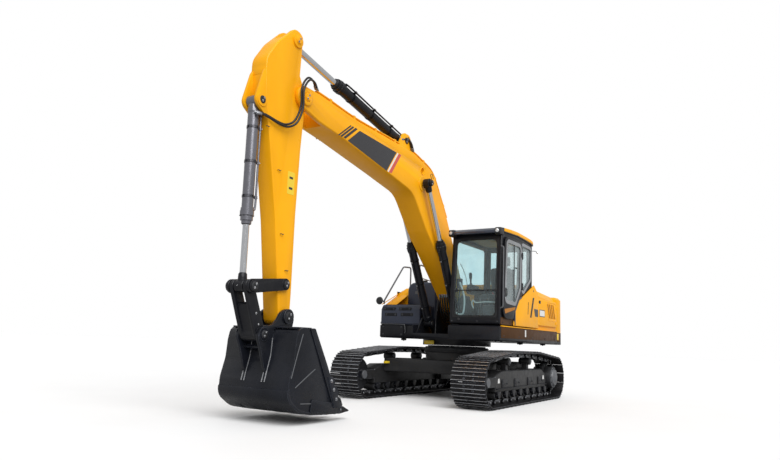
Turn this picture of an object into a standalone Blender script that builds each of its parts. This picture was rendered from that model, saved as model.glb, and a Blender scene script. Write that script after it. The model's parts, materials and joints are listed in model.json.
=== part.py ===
"""Crawler excavator with a backhoe front, in metres.

Machine frame: the swing axis is x = y = 0, the ground is z = 0, the boom points to -Y and the cab is on +X.
Everything hangs on one empty that moves the machine so that the middle of its box is at x = y = 0.
"""

import math

import bmesh
import bpy
from mathutils import Matrix, Vector

# ---- driving dimensions -------------------------------------------------------------------------
MACHINE_Y = 1.65  # the swing axis, ahead of which the boom and arm reach
GAP = 0.0003  # between pieces that touch
CLEAR = 0.006  # between pieces that move past each other

# undercarriage
GAUGE_HALF = 1.19
SHOE_WIDTH = 0.60
WHEEL_Y, WHEEL_Z = 1.714, 0.42  # idler ahead, sprocket behind
CARRIER_Y, CARRIER_Z = 0.55, 0.52  # the top run is lifted this far over the carrier rollers
PAD_R, GROUSER_R, SHOE_INNER_R, CHAIN_INNER_R = 0.395, 0.42, 0.372, 0.30
SHOES = 49
CHAIN_WIDTH = 0.20
ROLLERS, ROLLER_R = 8, 0.08
WHEEL_CLEAR = 0.010  # the chain's flat links cut inside its circle by up to this much
TRACK_PATH = [(-WHEEL_Y, WHEEL_Z), (WHEEL_Y, WHEEL_Z), (CARRIER_Y, CARRIER_Z), (-CARRIER_Y, CARRIER_Z)]

# upperstructure
DECK_LOW, DECK_TOP = 1.10, 1.36
SIDE = 1.36
CAB_X0, CAB_X1 = 0.42, 1.37
CAB_Y0, CAB_Y1 = -1.23, 0.43
CAB_FLOOR, CAB_ROOF = 1.38, 3.08
WALL = 0.05
HOUSE_Y0, HOUSE_Y1 = 0.50, 2.00
HOUSE_TOP = 2.17
TAIL_RADIUS = 2.82
DOOR_Y = (0.74, 1.94)
DOOR_Z = (1.44, 1.96)
DOOR_FACE = SIDE + 0.036
HOOD_X = (-0.95, 1.05)
HOOD_Y = (0.62, 1.90)
HOOD_HINGE_Z = 2.112
CAB_DOOR_HINGE_Y = -0.215
CAB_DOOR_HINGE_X = CAB_X1 + 0.034

# the cab's openings: outlines in (y, z) with each corner's radius, then x0, x1, z0, z1
DOOR_OPENING = [
    (-1.13, 1.52, 0.10), (-0.70, 1.52, 0.04), (-0.62, 1.68, 0.10), (-0.30, 1.97, 0.08), (-0.24, 2.90, 0.08),
    (-1.04, 2.90, 0.10),
]
DOOR_WINDOW = [
    (-1.08, 1.80, 0.10), (-0.60, 1.78, 0.06), (-0.36, 2.06, 0.06), (-0.31, 2.84, 0.08), (-0.99, 2.84, 0.08),
]
REAR_PANE = [(-0.13, 1.98, 0.06), (0.33, 2.30, 0.06), (0.36, 2.88, 0.06), (-0.13, 2.90, 0.06)]
RIGHT_PANE = [(-1.12, 1.62, 0.08), (0.32, 1.62, 0.08), (0.35, 2.90, 0.08), (-1.03, 2.90, 0.08)]
FRONT_PANE = (CAB_X0 + 0.07, CAB_X1 - 0.07, 1.50, 2.90)
BACK_PANE = (CAB_X0 + 0.10, CAB_X1 - 0.10, 2.05, 2.86)

# pins of the working front, as (y, z)
BOOM_FOOT = (-0.15, 1.77)
BOOM_TIP = (-5.27, 4.21)
BOOM_CYL_BASE = (-0.62, 1.40)
BOOM_CYL_EYE = (-1.95, 3.78)
BOOM_CYL_X = 0.30
ARM_CYL_BASE = (-2.45, 4.43)
ARM_CYL_EYE = (-5.43, 4.96)
BUCKET_CYL_BASE = (-6.03, 3.93)
LINK_TOP = (-6.03, 1.62)
GUIDE_PIN = (-5.44, 1.69)
BUCKET_PIN = (-5.38, 1.29)
LINK_LOW = (-5.80, 1.06)
BOOM_HALF, FORK_HALF, ARM_HALF = 0.20, 0.138, 0.13
BUCKET_HALF = 0.56
GUIDE_PIN_R = 0.042
PLATE = 0.025

# colours
YELLOW = ((0.95, 0.50, 0.03), 0.38, 0.0)
BLACK = ((0.018, 0.019, 0.024), 0.45, 0.0)
STEEL_BLACK = ((0.03, 0.03, 0.036), 0.55, 0.3)
GUNMETAL = ((0.11, 0.12, 0.14), 0.35, 0.6)
CHROME = ((0.75, 0.76, 0.78), 0.12, 1.0)
SLATE = ((0.075, 0.085, 0.115), 0.45, 0.0)
GLASS = ((0.55, 0.66, 0.66), 0.05, 0.0)
SEAT = ((0.03, 0.03, 0.03), 0.8, 0.0)
CAST = ((0.06, 0.06, 0.062), 0.6, 0.4)


# ---- scene helpers ------------------------------------------------------------------------------
def clear_scene():
    for obj in list(bpy.data.objects):
        bpy.data.objects.remove(obj, do_unlink=True)


def material(name, finish):
    colour, roughness, metallic = finish
    made = bpy.data.materials.new(name)
    made.use_nodes = True
    shader = made.node_tree.nodes["Principled BSDF"]
    shader.inputs["Base Color"].default_value = (*colour, 1.0)
    shader.inputs["Roughness"].default_value = roughness
    shader.inputs["Metallic"].default_value = metallic
    made.diffuse_color = (*colour, 1.0)
    return made


def empty(name, x, y, z, parent=None):
    made = bpy.data.objects.new(name, None)
    made.location = (x, y, z)
    made.parent = parent
    bpy.context.collection.objects.link(made)
    return made


class Machine:
    """The empties that carry each body. A body's empty stands on its joint's axis."""

    def __init__(self):
        self.root = empty("machine", 0, MACHINE_Y, 0)
        self.pivots = {}

    def body(self, name, pivot=(0.0, 0.0, 0.0)):
        self.pivots[name] = (empty(f"{name}_axis", *pivot, self.root), Vector(pivot))

    def add(self, name, body, finish, bm, smooth=True):
        carrier, pivot = self.pivots[body]
        mesh = bpy.data.meshes.new(name)
        bmesh.ops.recalc_face_normals(bm, faces=bm.faces)
        bm.to_mesh(mesh)
        bm.free()
        mesh.transform(Matrix.Translation(-pivot))
        mesh.materials.append(material(name, finish))
        if smooth:
            mesh.shade_smooth()
            mesh.set_sharp_from_angle(angle=math.radians(32))
        obj = bpy.data.objects.new(name, mesh)
        obj.parent = carrier
        bpy.context.collection.objects.link(obj)
        return obj


# ---- shapes -------------------------------------------------------------------------------------
def arc(centre, radius, start, end, steps):
    """Points on a circle, from one angle to the other, in degrees."""
    angles = (math.radians(start + (end - start) * i / steps) for i in range(steps + 1))
    return [(centre[0] + radius * math.cos(a), centre[1] + radius * math.sin(a)) for a in angles]


def rounded(corners, steps=4):
    """An outline whose corners (u, v, radius) are filleted."""
    outline = []
    for i, (u, v, radius) in enumerate(corners):
        here = Vector((u, v))
        if not radius:
            outline.append((u, v))
            continue
        back = (Vector(corners[i - 1][:2]) - here).normalized()
        ahead = (Vector(corners[(i + 1) % len(corners)][:2]) - here).normalized()
        half = back.angle(ahead) / 2
        centre = here + (back + ahead).normalized() * radius / math.sin(half)
        first, last = (here + side * radius / math.tan(half) - centre for side in (back, ahead))
        sweep = first.angle_signed(last)
        for k in range(steps + 1):
            turned = first.copy()
            turned.rotate(Matrix.Rotation(-sweep * k / steps, 2))
            outline.append(tuple(centre + turned))
    return outline


def hull_of_circles(*circles, steps=8):
    """The convex outline round some circles (u, v, radius)."""
    points = [p for u, v, r in circles for p in arc((u, v), r, 0, 360 - 360 / (steps * 3), steps * 3 - 1)]
    bm = bmesh.new()
    for p in points:
        bm.verts.new((*p, 0))
    found = bmesh.ops.convex_hull(bm, input=bm.verts)
    rim = {v for v in found["geom"] if isinstance(v, bmesh.types.BMVert)}
    middle = sum((v.co for v in rim), Vector()) / len(rim)
    ring = sorted(rim, key=lambda v: math.atan2(v.co.y - middle.y, v.co.x - middle.x))
    outline = [(v.co.x, v.co.y) for v in ring]
    bm.free()
    return outline


def extrude(outline, low, high, to_world, bevel=0.0):
    """A solid from a flat outline, pushed from low to high. to_world turns (u, v, w) into (x, y, z)."""
    bm = bmesh.new()
    base = bm.faces.new([bm.verts.new(to_world(u, v, low)) for u, v in outline])
    pushed = bmesh.ops.extrude_face_region(bm, geom=[base])
    shift = Vector(to_world(0, 0, high)) - Vector(to_world(0, 0, low))
    moved = [g for g in pushed["geom"] if isinstance(g, bmesh.types.BMVert)]
    bmesh.ops.translate(bm, verts=moved, vec=shift)
    bmesh.ops.recalc_face_normals(bm, faces=bm.faces)
    if bevel:
        caps = [f for f in bm.faces if len(f.verts) == len(outline)]
        rims = {e for f in caps for e in f.edges} if len(outline) != 4 else {
            e for e in bm.edges if abs((e.verts[0].co - e.verts[1].co).dot(shift)) < 1e-9
        }
        bmesh.ops.bevel(
            bm, geom=list(rims), offset=bevel, segments=1, affect="EDGES", profile=0.5, clamp_overlap=True
        )
    return bm


def side_prism(outline, x0, x1, bevel=0.0):
    """An outline in (y, z), pushed along x."""
    return extrude(outline, x0, x1, lambda u, v, w: (w, u, v), bevel)


def plan_prism(outline, z0, z1, bevel=0.0):
    """An outline in (x, y), pushed along z."""
    return extrude(outline, z0, z1, lambda u, v, w: (u, v, w), bevel)


def cross_prism(outline, y0, y1, bevel=0.0):
    """An outline in (x, z), pushed along y."""
    return extrude(outline, y0, y1, lambda u, v, w: (u, w, v), bevel)


def box(x0, x1, y0, y1, z0, z1, bevel=0.0):
    return plan_prism([(x0, y0), (x1, y0), (x1, y1), (x0, y1)], z0, z1, bevel)


def disc(centre, radius, x0, x1, steps=20):
    """A round piece on an axis along x."""
    return side_prism(arc(centre, radius, 0, 360 - 360 / steps, steps - 1), x0, x1)


def post(x, y, radius, z0, z1, steps=24):
    return plan_prism(arc((x, y), radius, 0, 360 - 360 / steps, steps - 1), z0, z1)


def bar(start, end, radius, steps=14):
    """A round bar between two points."""
    start, end = Vector(start), Vector(end)
    bm = bmesh.new()
    along = end - start
    bmesh.ops.create_cone(
        bm, cap_ends=True, segments=steps, radius1=radius, radius2=radius, depth=along.length
    )
    turn = along.to_track_quat("Z", "Y").to_matrix().to_4x4()
    bmesh.ops.transform(bm, matrix=Matrix.Translation((start + end) / 2) @ turn, verts=bm.verts)
    return bm


def offset_point(start, end, distance):
    """The point this far from start on the way to end, both (y, z)."""
    way = (Vector(end) - Vector(start)).normalized()
    return tuple(Vector(start) + way * distance)


def combine(shapes, cuts=()):
    """The union of the shapes with the cuts taken out, as one mesh."""
    made = []
    for bm in (*shapes, *cuts):
        bmesh.ops.recalc_face_normals(bm, faces=bm.faces)
        mesh = bpy.data.meshes.new("shape")
        bm.to_mesh(mesh)
        bm.free()
        made.append(bpy.data.objects.new("shape", mesh))
        bpy.context.collection.objects.link(made[-1])
    for i, tool in enumerate(made[1:], 1):
        modifier = made[0].modifiers.new("cut", "BOOLEAN")
        modifier.object = tool
        modifier.operation = "UNION" if i < len(shapes) else "DIFFERENCE"
    bpy.context.view_layer.update()
    graph = bpy.context.evaluated_depsgraph_get()
    result = bmesh.new()
    result.from_mesh(made[0].evaluated_get(graph).to_mesh())
    for obj in made:
        bpy.data.objects.remove(obj, do_unlink=True)
    bmesh.ops.remove_doubles(result, verts=result.verts, dist=1e-6)
    return result


# ---- undercarriage ------------------------------------------------------------------------------
def track_corners():
    """Each corner of the path with its place, the angle of the side that arrives and its turn."""
    corners = []
    for i, corner in enumerate(TRACK_PATH):
        arrive = Vector(corner) - Vector(TRACK_PATH[i - 1])
        leave = Vector(TRACK_PATH[(i + 1) % 4]) - Vector(corner)
        start = math.atan2(arrive.y, arrive.x)
        turn = (math.atan2(leave.y, leave.x) - start) % (2 * math.pi)
        corners.append((corner, start, turn, leave.length))
    return corners


def track_point(s, radius):
    """The point at s metres along the pad line, moved out to the radius."""
    for corner, start, turn, run in track_corners():
        arc_length = turn * PAD_R
        if s <= arc_length:
            out = start - math.pi / 2 + s / PAD_R
            return corner[0] + radius * math.cos(out), corner[1] + radius * math.sin(out)
        s -= arc_length
        if s <= run:
            way = start + turn
            out = way - math.pi / 2
            return (
                corner[0] + s * math.cos(way) + radius * math.cos(out),
                corner[1] + s * math.sin(way) + radius * math.sin(out),
            )
        s -= run
    return track_point(0, radius)


def track_loop(side):
    length = sum(turn * PAD_R + run for _, _, turn, run in track_corners())
    pitch = length / SHOES
    outer = []
    for i in range(SHOES):
        for part, radius in ((0.06, PAD_R), (0.60, PAD_R), (0.64, GROUSER_R), (0.94, GROUSER_R)):
            outer.append(track_point((i + part) * pitch, radius))
    steps = 72

    def inner(radius):
        return [track_point(length * i / steps, radius) for i in range(steps)]

    middle = side * GAUGE_HALF
    half = SHOE_WIDTH / 2
    chain = CHAIN_WIDTH / 2
    shoes = side_prism(outer, middle - half, middle + half)
    links = side_prism(inner(SHOE_INNER_R + 0.01), middle - chain, middle + chain)
    hollow = side_prism(inner(SHOE_INNER_R), middle - half - 0.1, middle + half + 0.1)
    tunnel = side_prism(inner(CHAIN_INNER_R), middle - half - 0.1, middle + half + 0.1)
    ring = combine([shoes], [hollow])
    return combine([ring, links], [tunnel])


def track_frame(side):
    middle = side * GAUGE_HALF
    roller_z = WHEEL_Z - CHAIN_INNER_R + ROLLER_R + 0.001
    carrier_z = CARRIER_Z + CHAIN_INNER_R - 0.07 - 0.001
    beam = rounded(
        [(-1.34, 0.25, 0.02), (1.30, 0.25, 0.02), (1.30, 0.50, 0.03), (1.05, 0.60, 0.05), (-1.05, 0.60, 0.05),
         (-1.34, 0.52, 0.03)],
        3,
    )
    shapes = [side_prism(beam, middle - 0.16, middle + 0.16, 0.015)]
    for i in range(ROLLERS):
        y = -1.22 + 2.44 * i / (ROLLERS - 1)
        shapes.append(disc((y, roller_z), ROLLER_R, middle - 0.125, middle + 0.125, 14))
    for y in (-CARRIER_Y, CARRIER_Y):
        shapes.append(box(middle - 0.05, middle + 0.05, y - 0.05, y + 0.05, 0.58, carrier_z))
        shapes.append(disc((y, carrier_z), 0.07, middle - 0.10, middle + 0.10, 14))
    for dx in (-0.145, 0.145):
        shapes.append(box(middle + dx - 0.015, middle + dx + 0.015, -1.86, -1.30, 0.34, 0.50))
    inner = middle - side * 0.235
    shapes.append(box(inner - 0.035, inner + 0.035, 1.20, 1.88, 0.26, 0.56))
    shapes.append(box(min(inner, middle), max(inner, middle), 1.20, 1.29, 0.27, 0.48))
    return combine(shapes)


def idler(side):
    middle = side * GAUGE_HALF
    centre = (-WHEEL_Y, WHEEL_Z)
    rim = disc(centre, CHAIN_INNER_R - WHEEL_CLEAR, middle - 0.07, middle + 0.07, 32)
    hub = disc(centre, 0.09, middle - 0.12, middle + 0.12, 16)
    return combine([rim, hub])


def sprocket(side):
    middle = side * GAUGE_HALF
    teeth, centre = 21, (WHEEL_Y, WHEEL_Z)
    outline = []
    for i in range(teeth * 2):
        radius = CHAIN_INNER_R - WHEEL_CLEAR - (0 if i % 2 else 0.03)
        for shift in (-0.22, 0.22):
            outline.extend(arc(centre, radius, (i + shift) * 180 / teeth, (i + shift) * 180 / teeth, 1)[:1])
    wheel = side_prism(outline, middle - 0.035, middle + 0.035)
    outward = disc(centre, 0.215, middle + side * 0.03, middle + side * 0.19, 28)
    cap = disc(centre, 0.15, middle + side * 0.18, middle + side * 0.235, 24)
    motor = disc(centre, 0.20, middle - side * 0.19, middle - side * 0.03, 24)
    return combine([wheel, outward, cap, motor])


def build_undercarriage(machine):
    frame_side = GAUGE_HALF - 0.16 - GAP
    half = 0.62
    legs = [
        (-frame_side, -1.02), (-frame_side, -0.52), (-half, -0.28), (-half, 0.28),
        (-frame_side, 0.52), (-frame_side, 1.02), (-half * 0.7, 0.70), (half * 0.7, 0.70),
        (frame_side, 1.02), (frame_side, 0.52), (half, 0.28), (half, -0.28),
        (frame_side, -0.52), (frame_side, -1.02), (half * 0.7, -0.70), (-half * 0.7, -0.70),
    ]
    centre = plan_prism(legs, 0.46, 0.72, 0.02)
    drum = post(0, 0, 0.60, 0.60, 0.86, 32)
    machine.add("x_frame", "undercarriage", BLACK, combine([centre, drum]))
    race = combine(
        [post(0, 0, 0.62, 0.86 + GAP, 0.95, 32), post(0, 0, 0.56, 0.90, 0.985, 32)],
        [post(0, 0, 0.30, 0.80, 1.1, 20)],
    )
    machine.add("swing_bearing", "undercarriage", CAST, race)
    for side, name in ((1, "left"), (-1, "right")):
        machine.add(f"track_frame_{name}", "undercarriage", BLACK, track_frame(side))
        machine.add(f"track_{name}", "undercarriage", STEEL_BLACK, track_loop(side), smooth=False)
        machine.add(f"idler_{name}", "undercarriage", CAST, idler(side))
        machine.add(f"sprocket_{name}", "undercarriage", CAST, sprocket(side))


# ---- upperstructure -----------------------------------------------------------------------------
def revolving_frame():
    deck = [
        (-SIDE, -0.67), (-0.46, -0.67), (-0.46, -1.0), (0.40, -1.0), (0.40, CAB_Y0), (SIDE + 0.01, CAB_Y0),
        (SIDE + 0.01, HOUSE_Y1 + 0.03), (-SIDE, HOUSE_Y1 + 0.03),
    ]
    plate = plan_prism(deck, DECK_LOW, DECK_TOP, 0.02)
    well = box(-0.44, 0.385, -1.1, 0.9, 1.20, 1.5)
    turntable = post(0, 0, 0.66, 0.99 + CLEAR / 3, 1.14, 32)
    shapes = [plate, turntable]
    bracket = rounded(
        [(-0.50, 1.15, 0), (0.47, 1.15, 0), (0.47, 1.48, 0.1), (0.10, 1.88, 0.16), (-0.20, 1.98, 0.14),
         (-0.36, 1.90, 0.1), (-0.50, 1.50, 0.08)],
        3,
    )
    base = rounded([(-0.98, 1.15, 0), (-0.26, 1.15, 0), (-0.53, 1.50, 0.08), (-0.71, 1.50, 0.08)], 3)
    for side in (-1, 1):
        inner, outer = sorted((side * (BOOM_HALF + 0.008), side * (BOOM_HALF + 0.048)))
        shapes.append(side_prism(bracket, inner, outer))
        shapes.append(disc(BOOM_FOOT, 0.13, *sorted((side * 0.215, side * 0.275)), 20))
        shapes.append(side_prism(base, *sorted((side * 0.387, side * 0.412))))
        shapes.append(disc(BOOM_CYL_BASE, 0.06, *sorted((side * 0.384, side * 0.416)), 16))
    deck_with_well = combine(shapes[:1], [well])
    return combine([deck_with_well, *shapes[1:]])


def sloped(bm, start=1.9, fall=0.065):
    """Lowers the top of a housing panel towards the tail."""
    for vert in bm.verts:
        if vert.co.z > start:
            vert.co.z -= fall * (vert.co.y - HOUSE_Y0)
    return bm


def housing_section(inset=0.0):
    """The housing across the machine, as (x, z): upright sides, a shoulder and a crowned top."""
    return [
        (-SIDE + inset, DECK_TOP + GAP + inset), (SIDE - inset, DECK_TOP + GAP + inset),
        (SIDE - inset, 2.04 - inset / 2), (SIDE - 0.10 - inset, HOUSE_TOP - inset),
        (0.6, HOUSE_TOP + 0.03 - inset), (-0.6, HOUSE_TOP + 0.03 - inset),
        (-SIDE + 0.10 + inset, HOUSE_TOP - inset), (-SIDE + inset, 2.04 - inset / 2),
    ]


def engine_housing():
    outer = sloped(cross_prism(housing_section(), HOUSE_Y0, HOUSE_Y1, 0.01))
    inner = sloped(cross_prism(housing_section(0.035), HOUSE_Y0 + 0.04, HOUSE_Y1 - 0.04))
    bottom = box(-1.2, 1.2, HOUSE_Y0 + 0.08, HOUSE_Y1 - 0.08, 1.2, 1.5)
    doors = box(-1.5, 1.5, DOOR_Y[0] + 0.03, DOOR_Y[1] - 0.03, DOOR_Z[0] + 0.03, DOOR_Z[1] - 0.03)
    hood = box(HOOD_X[0] + 0.04, HOOD_X[1] - 0.04, HOOD_Y[0] + 0.04, HOOD_Y[1] - 0.04, 1.9, 2.5)
    return combine([outer], [inner, bottom, doors, hood])


def side_door(side):
    """A plate that stands proud of the housing's opening."""
    x0, x1 = sorted((side * (DOOR_FACE - 0.03), side * DOOR_FACE))
    outline = rounded(
        [(DOOR_Y[0], DOOR_Z[0], 0.03), (DOOR_Y[1], DOOR_Z[0], 0.03), (DOOR_Y[1], DOOR_Z[1], 0.05),
         (DOOR_Y[0], DOOR_Z[1], 0.05)],
        3,
    )
    return side_prism(outline, x0, x1, 0.008)


def engine_hood():
    """A crowned lid that lies on the housing's rim, with a low lip inside the opening."""
    top = HOUSE_TOP + 0.036
    outline = [
        (HOOD_X[0], top), (HOOD_X[1], top), (HOOD_X[1] - 0.03, top + 0.03), (0.55, top + 0.045),
        (-0.5, top + 0.045), (HOOD_X[0] + 0.03, top + 0.035),
    ]
    return sloped(cross_prism(outline, HOOD_Y[0], HOOD_Y[1], 0.006))


def counterweight():
    y0 = HOUSE_Y1 + 0.035
    corner = math.sqrt(TAIL_RADIUS**2 - 1.35**2)
    tail_angle = math.degrees(math.atan2(corner, 1.35))
    tail = arc((0, 0), TAIL_RADIUS, tail_angle + 7, 180 - tail_angle - 7, 14)
    side_round = rounded([(1.35, corner - 0.30, 0), (1.35, corner + 0.02, 0.25), (*tail[0], 0)], 5)[1:-1]
    outline = [(-1.35, y0), (1.35, y0), *side_round, *tail, *[(-x, y) for x, y in reversed(side_round)]]
    return plan_prism(outline, 1.09, 2.085, 0.05)


def cab_outline(inset=0.0):
    """The cab from the side, as (y, z): a front that leans back a little and a domed roof."""
    return rounded(
        [(CAB_Y0 + inset, CAB_FLOOR + inset, 0.05), (CAB_Y1 - inset, CAB_FLOOR + inset, 0.05),
         (CAB_Y1 + 0.02 - inset, CAB_ROOF - 0.05 - inset, 0.12), (-0.40, CAB_ROOF - inset, 0.5),
         (CAB_Y0 + 0.10 + inset, CAB_ROOF - 0.03 - inset, 0.10), (CAB_Y0 + 0.02 + inset, 2.0, 0.3)],
        4,
    )


def grown(corners, by):
    """An outline (counterclockwise, with corner radii) whose every side is moved out."""
    moved = []
    for i, (u, v, radius) in enumerate(corners):
        here = Vector((u, v))
        normals = []
        for other, sign in ((corners[i - 1], 1), (corners[(i + 1) % len(corners)], -1)):
            way = (here - Vector(other[:2])).normalized() * sign
            normals.append(Vector((way.y, -way.x)))
        shift = (normals[0] + normals[1]) * by / (1 + normals[0].dot(normals[1]))
        moved.append((*(here + shift), max(radius + by, 0.001)))
    return rounded(moved, 3)


def cab_shell():
    outer = side_prism(cab_outline(), CAB_X0, CAB_X1, 0.02)
    inner = side_prism(cab_outline(WALL), CAB_X0 + WALL, CAB_X1 - WALL)
    x0, x1, z0, z1 = FRONT_PANE
    front = box(x0, x1, CAB_Y0 - 0.2, CAB_Y0 + 0.3, z0, z1)
    x0, x1, z0, z1 = BACK_PANE
    back = box(x0, x1, CAB_Y1 - 0.2, CAB_Y1 + 0.2, z0, z1)
    door = side_prism(grown(DOOR_OPENING, 0), CAB_X1 - 0.2, CAB_X1 + 0.2)
    rear_side = side_prism(grown(REAR_PANE, 0), CAB_X1 - 0.2, CAB_X1 + 0.2)
    right = side_prism(grown(RIGHT_PANE, 0), CAB_X0 - 0.2, CAB_X0 + 0.2)
    return combine([outer], [inner, front, back, door, rear_side, right])


def windshield():
    """One pane that fills the front opening, leaning with the cab's front."""
    x0, x1, z0, z1 = FRONT_PANE
    gap = 0.004
    outline = [
        (CAB_Y0 + 0.022, z0 + gap), (CAB_Y0 + 0.034, z0 + gap), (CAB_Y0 + 0.052, 2.0),
        (CAB_Y0 + 0.122, z1 - gap), (CAB_Y0 + 0.110, z1 - gap), (CAB_Y0 + 0.040, 2.0),
    ]
    return side_prism(outline, x0 + gap, x1 - gap)


def pane(corners, x):
    return side_prism(grown(corners, -0.004), x - 0.005, x + 0.005)


def cab_door():
    x0 = CAB_X1 + 0.006
    outer = grown(DOOR_OPENING, 0.03)
    frame = side_prism(outer, x0, x0 + 0.035, 0.008)
    glass = side_prism(grown(DOOR_WINDOW, -0.004), x0 + 0.012, x0 + 0.022)
    hinge = []
    for z in (2.05, 2.62):
        hinge.append(post(CAB_DOOR_HINGE_X, CAB_DOOR_HINGE_Y, 0.018, z, z + 0.12, 10))
        leaf = box(x0 + 0.008, x0 + 0.040, CAB_DOOR_HINGE_Y - 0.09, CAB_DOOR_HINGE_Y, z + 0.02, z + 0.10)
        hinge.append(leaf)
    return combine([frame, *hinge], [side_prism(grown(DOOR_WINDOW, 0), x0 - 0.1, x0 + 0.1)]), glass


def operator_seat():
    x0, x1 = 0.66, 1.14
    cushion = rounded([(-0.55, 1.82, 0.05), (-0.02, 1.80, 0.03), (-0.02, 1.94, 0.03), (-0.52, 1.97, 0.06)], 3)
    back = rounded([(-0.10, 1.85, 0.03), (0.04, 1.85, 0.04), (0.18, 2.50, 0.05), (0.06, 2.52, 0.05)], 3)
    head = rounded([(0.07, 2.53, 0.03), (0.18, 2.53, 0.03), (0.21, 2.74, 0.04), (0.12, 2.74, 0.04)], 3)
    neck = box(0.84, 0.96, 0.09, 0.14, 2.45, 2.60)
    pedestal = box(0.72, 1.08, -0.45, 0.0, CAB_FLOOR + WALL + GAP, 1.86)
    return combine([
        side_prism(cushion, x0, x1, 0.02), side_prism(back, x0 + 0.02, x1 - 0.02, 0.02),
        side_prism(head, 0.76, 1.04, 0.015), neck, pedestal,
    ])


def control_console():
    """Both arm consoles on one bridge behind the pedestal, with the display's post at the right front."""
    shapes = []
    arm = rounded([(-0.72, 1.95, 0.05), (-0.05, 1.95, 0.03), (-0.05, 2.06, 0.03), (-0.70, 2.10, 0.05)], 3)
    for x0, x1 in ((0.50, 0.62), (1.18, 1.30)):
        shapes.append(side_prism(arm, x0, x1, 0.012))
        shapes.append(box(x0 + 0.01, x1 - 0.01, -0.35, -0.07, CAB_FLOOR + WALL + GAP, 2.0))
        shapes.append(bar(((x0 + x1) / 2, -0.62, 2.05), ((x0 + x1) / 2, -0.64, 2.26), 0.018, 8))
    shapes.append(box(0.50, 1.30, 0.19, 0.30, CAB_FLOOR + WALL + GAP, 1.70))
    for x0, x1 in ((0.51, 0.60), (1.20, 1.29)):
        shapes.append(box(x0, x1, -0.10, 0.22, 1.50, 1.68))
    return combine(shapes)


def left_fairing():
    """The swept panel outside the cab's lower rear side, up to the side door."""
    outline = [
        (-0.62, DECK_TOP + 0.02), (DOOR_Y[0] - 0.01, DECK_TOP + 0.02), (DOOR_Y[0] - 0.01, 2.04),
        (0.48, 2.20), (-0.22, 1.90), (-0.35, 1.86), (-0.56, 1.64),
    ]
    return side_prism(outline, CAB_X1 + 0.002, CAB_X1 + 0.030, 0.008)


def fuel_tank():
    outline = rounded(
        [(-1.08, DECK_TOP + GAP, 0), (-0.42, DECK_TOP + GAP, 0), (-0.42, 2.24, 0.10), (-1.08, 2.24, 0.16)], 4
    )
    return cross_prism(outline, -0.10, 0.44, 0.03)


def hydraulic_tank():
    outline = [(-1.35, 1.362), (-1.09, 1.362), (-1.09, 2.14), (-1.24, 2.14), (-1.35, 2.02)]
    body = cross_prism(outline, -0.05, 0.49, 0.01)
    slope = side_prism([(-0.2, 1.83), (0.30, 2.3), (-0.2, 2.4)], -1.5, -1.0)
    return combine([body], [slope])


def front_toolbox():
    outline = rounded(
        [(-0.67, DECK_TOP + GAP, 0.02), (-0.12, DECK_TOP + GAP, 0), (-0.12, 1.75, 0.03), (-0.60, 1.75, 0.05),
         (-0.67, 1.66, 0.03)],
        3,
    )
    return side_prism(outline, -1.35, -0.47, 0.012)


def handrail():
    """The climbing rail at the right front, with the mirror on its foot."""
    x, r = -1.33, 0.016
    points = [(-0.60, 1.754), (-0.60, 1.80), (0.14, 2.58), (0.46, 2.60), (0.46, 2.16)]
    shapes = [bar((x, *points[i]), (x, *points[i + 1]), r, 8) for i in range(4)]
    shapes += [bar((x, *offset_point(p, (p[0], p[1] + 1), -r)), (x, *offset_point(p, (p[0], p[1] + 1), r)), r * 1.2, 8)
               for p in points[1:4]]
    shapes.append(bar((x, -0.58, 1.81), (x - 0.08, -0.66, 1.86), 0.012, 8))
    shapes.append(box(x - 0.10, x - 0.055, -0.74, -0.60, 1.70, 1.96, 0.01))
    return combine(shapes)


def exhaust_pipe():
    top = HOUSE_TOP + 0.05
    return combine([post(-1.08, 1.45, 0.055, 2.145, top + 0.10, 16), post(-1.08, 1.45, 0.065, 2.16, 2.20, 16)],
                   [post(-1.08, 1.45, 0.045, 2.19, top + 0.2, 16)])


def build_upperstructure(machine):
    machine.add("revolving_frame", "upperstructure", BLACK, revolving_frame())
    machine.add("engine_housing", "upperstructure", YELLOW, engine_housing())
    machine.add("counterweight", "upperstructure", YELLOW, counterweight())
    machine.add("engine_block", "upperstructure", CAST, box(-0.75, 0.55, 1.15, 1.85, DECK_TOP + GAP, 2.05))
    machine.add("cab_shell", "upperstructure", BLACK, cab_shell())
    machine.add("windshield", "upperstructure", GLASS, windshield())
    machine.add("cab_right_window", "upperstructure", GLASS, pane(RIGHT_PANE, CAB_X0 + 0.02))
    machine.add("cab_quarter_window", "upperstructure", GLASS, pane(REAR_PANE, CAB_X1 - 0.02))
    x0, x1, z0, z1 = BACK_PANE
    rear = box(x0 + 0.004, x1 - 0.004, CAB_Y1 - 0.025, CAB_Y1 - 0.015, z0 + 0.004, z1 - 0.004)
    machine.add("cab_rear_window", "upperstructure", GLASS, rear)
    machine.add("operator_seat", "upperstructure", SEAT, operator_seat())
    machine.add("control_console", "upperstructure", BLACK, control_console())
    machine.add("left_fairing", "upperstructure", YELLOW, left_fairing())
    machine.add("fuel_tank", "upperstructure", SLATE, fuel_tank())
    machine.add("hydraulic_tank", "upperstructure", YELLOW, hydraulic_tank())
    machine.add("front_toolbox", "upperstructure", SLATE, front_toolbox())
    machine.add("right_handrail", "upperstructure", BLACK, handrail())
    machine.add("exhaust_pipe", "upperstructure", CAST, exhaust_pipe())
    frame, glass = cab_door()
    machine.add("cab_door", "cab_door", BLACK, frame)
    machine.add("cab_door_glass", "cab_door", GLASS, glass)
    machine.add("left_side_door", "left_side_door", YELLOW, side_door(1))
    machine.add("right_side_door", "right_side_door", YELLOW, side_door(-1))
    machine.add("engine_hood", "engine_hood", YELLOW, engine_hood())


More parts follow.
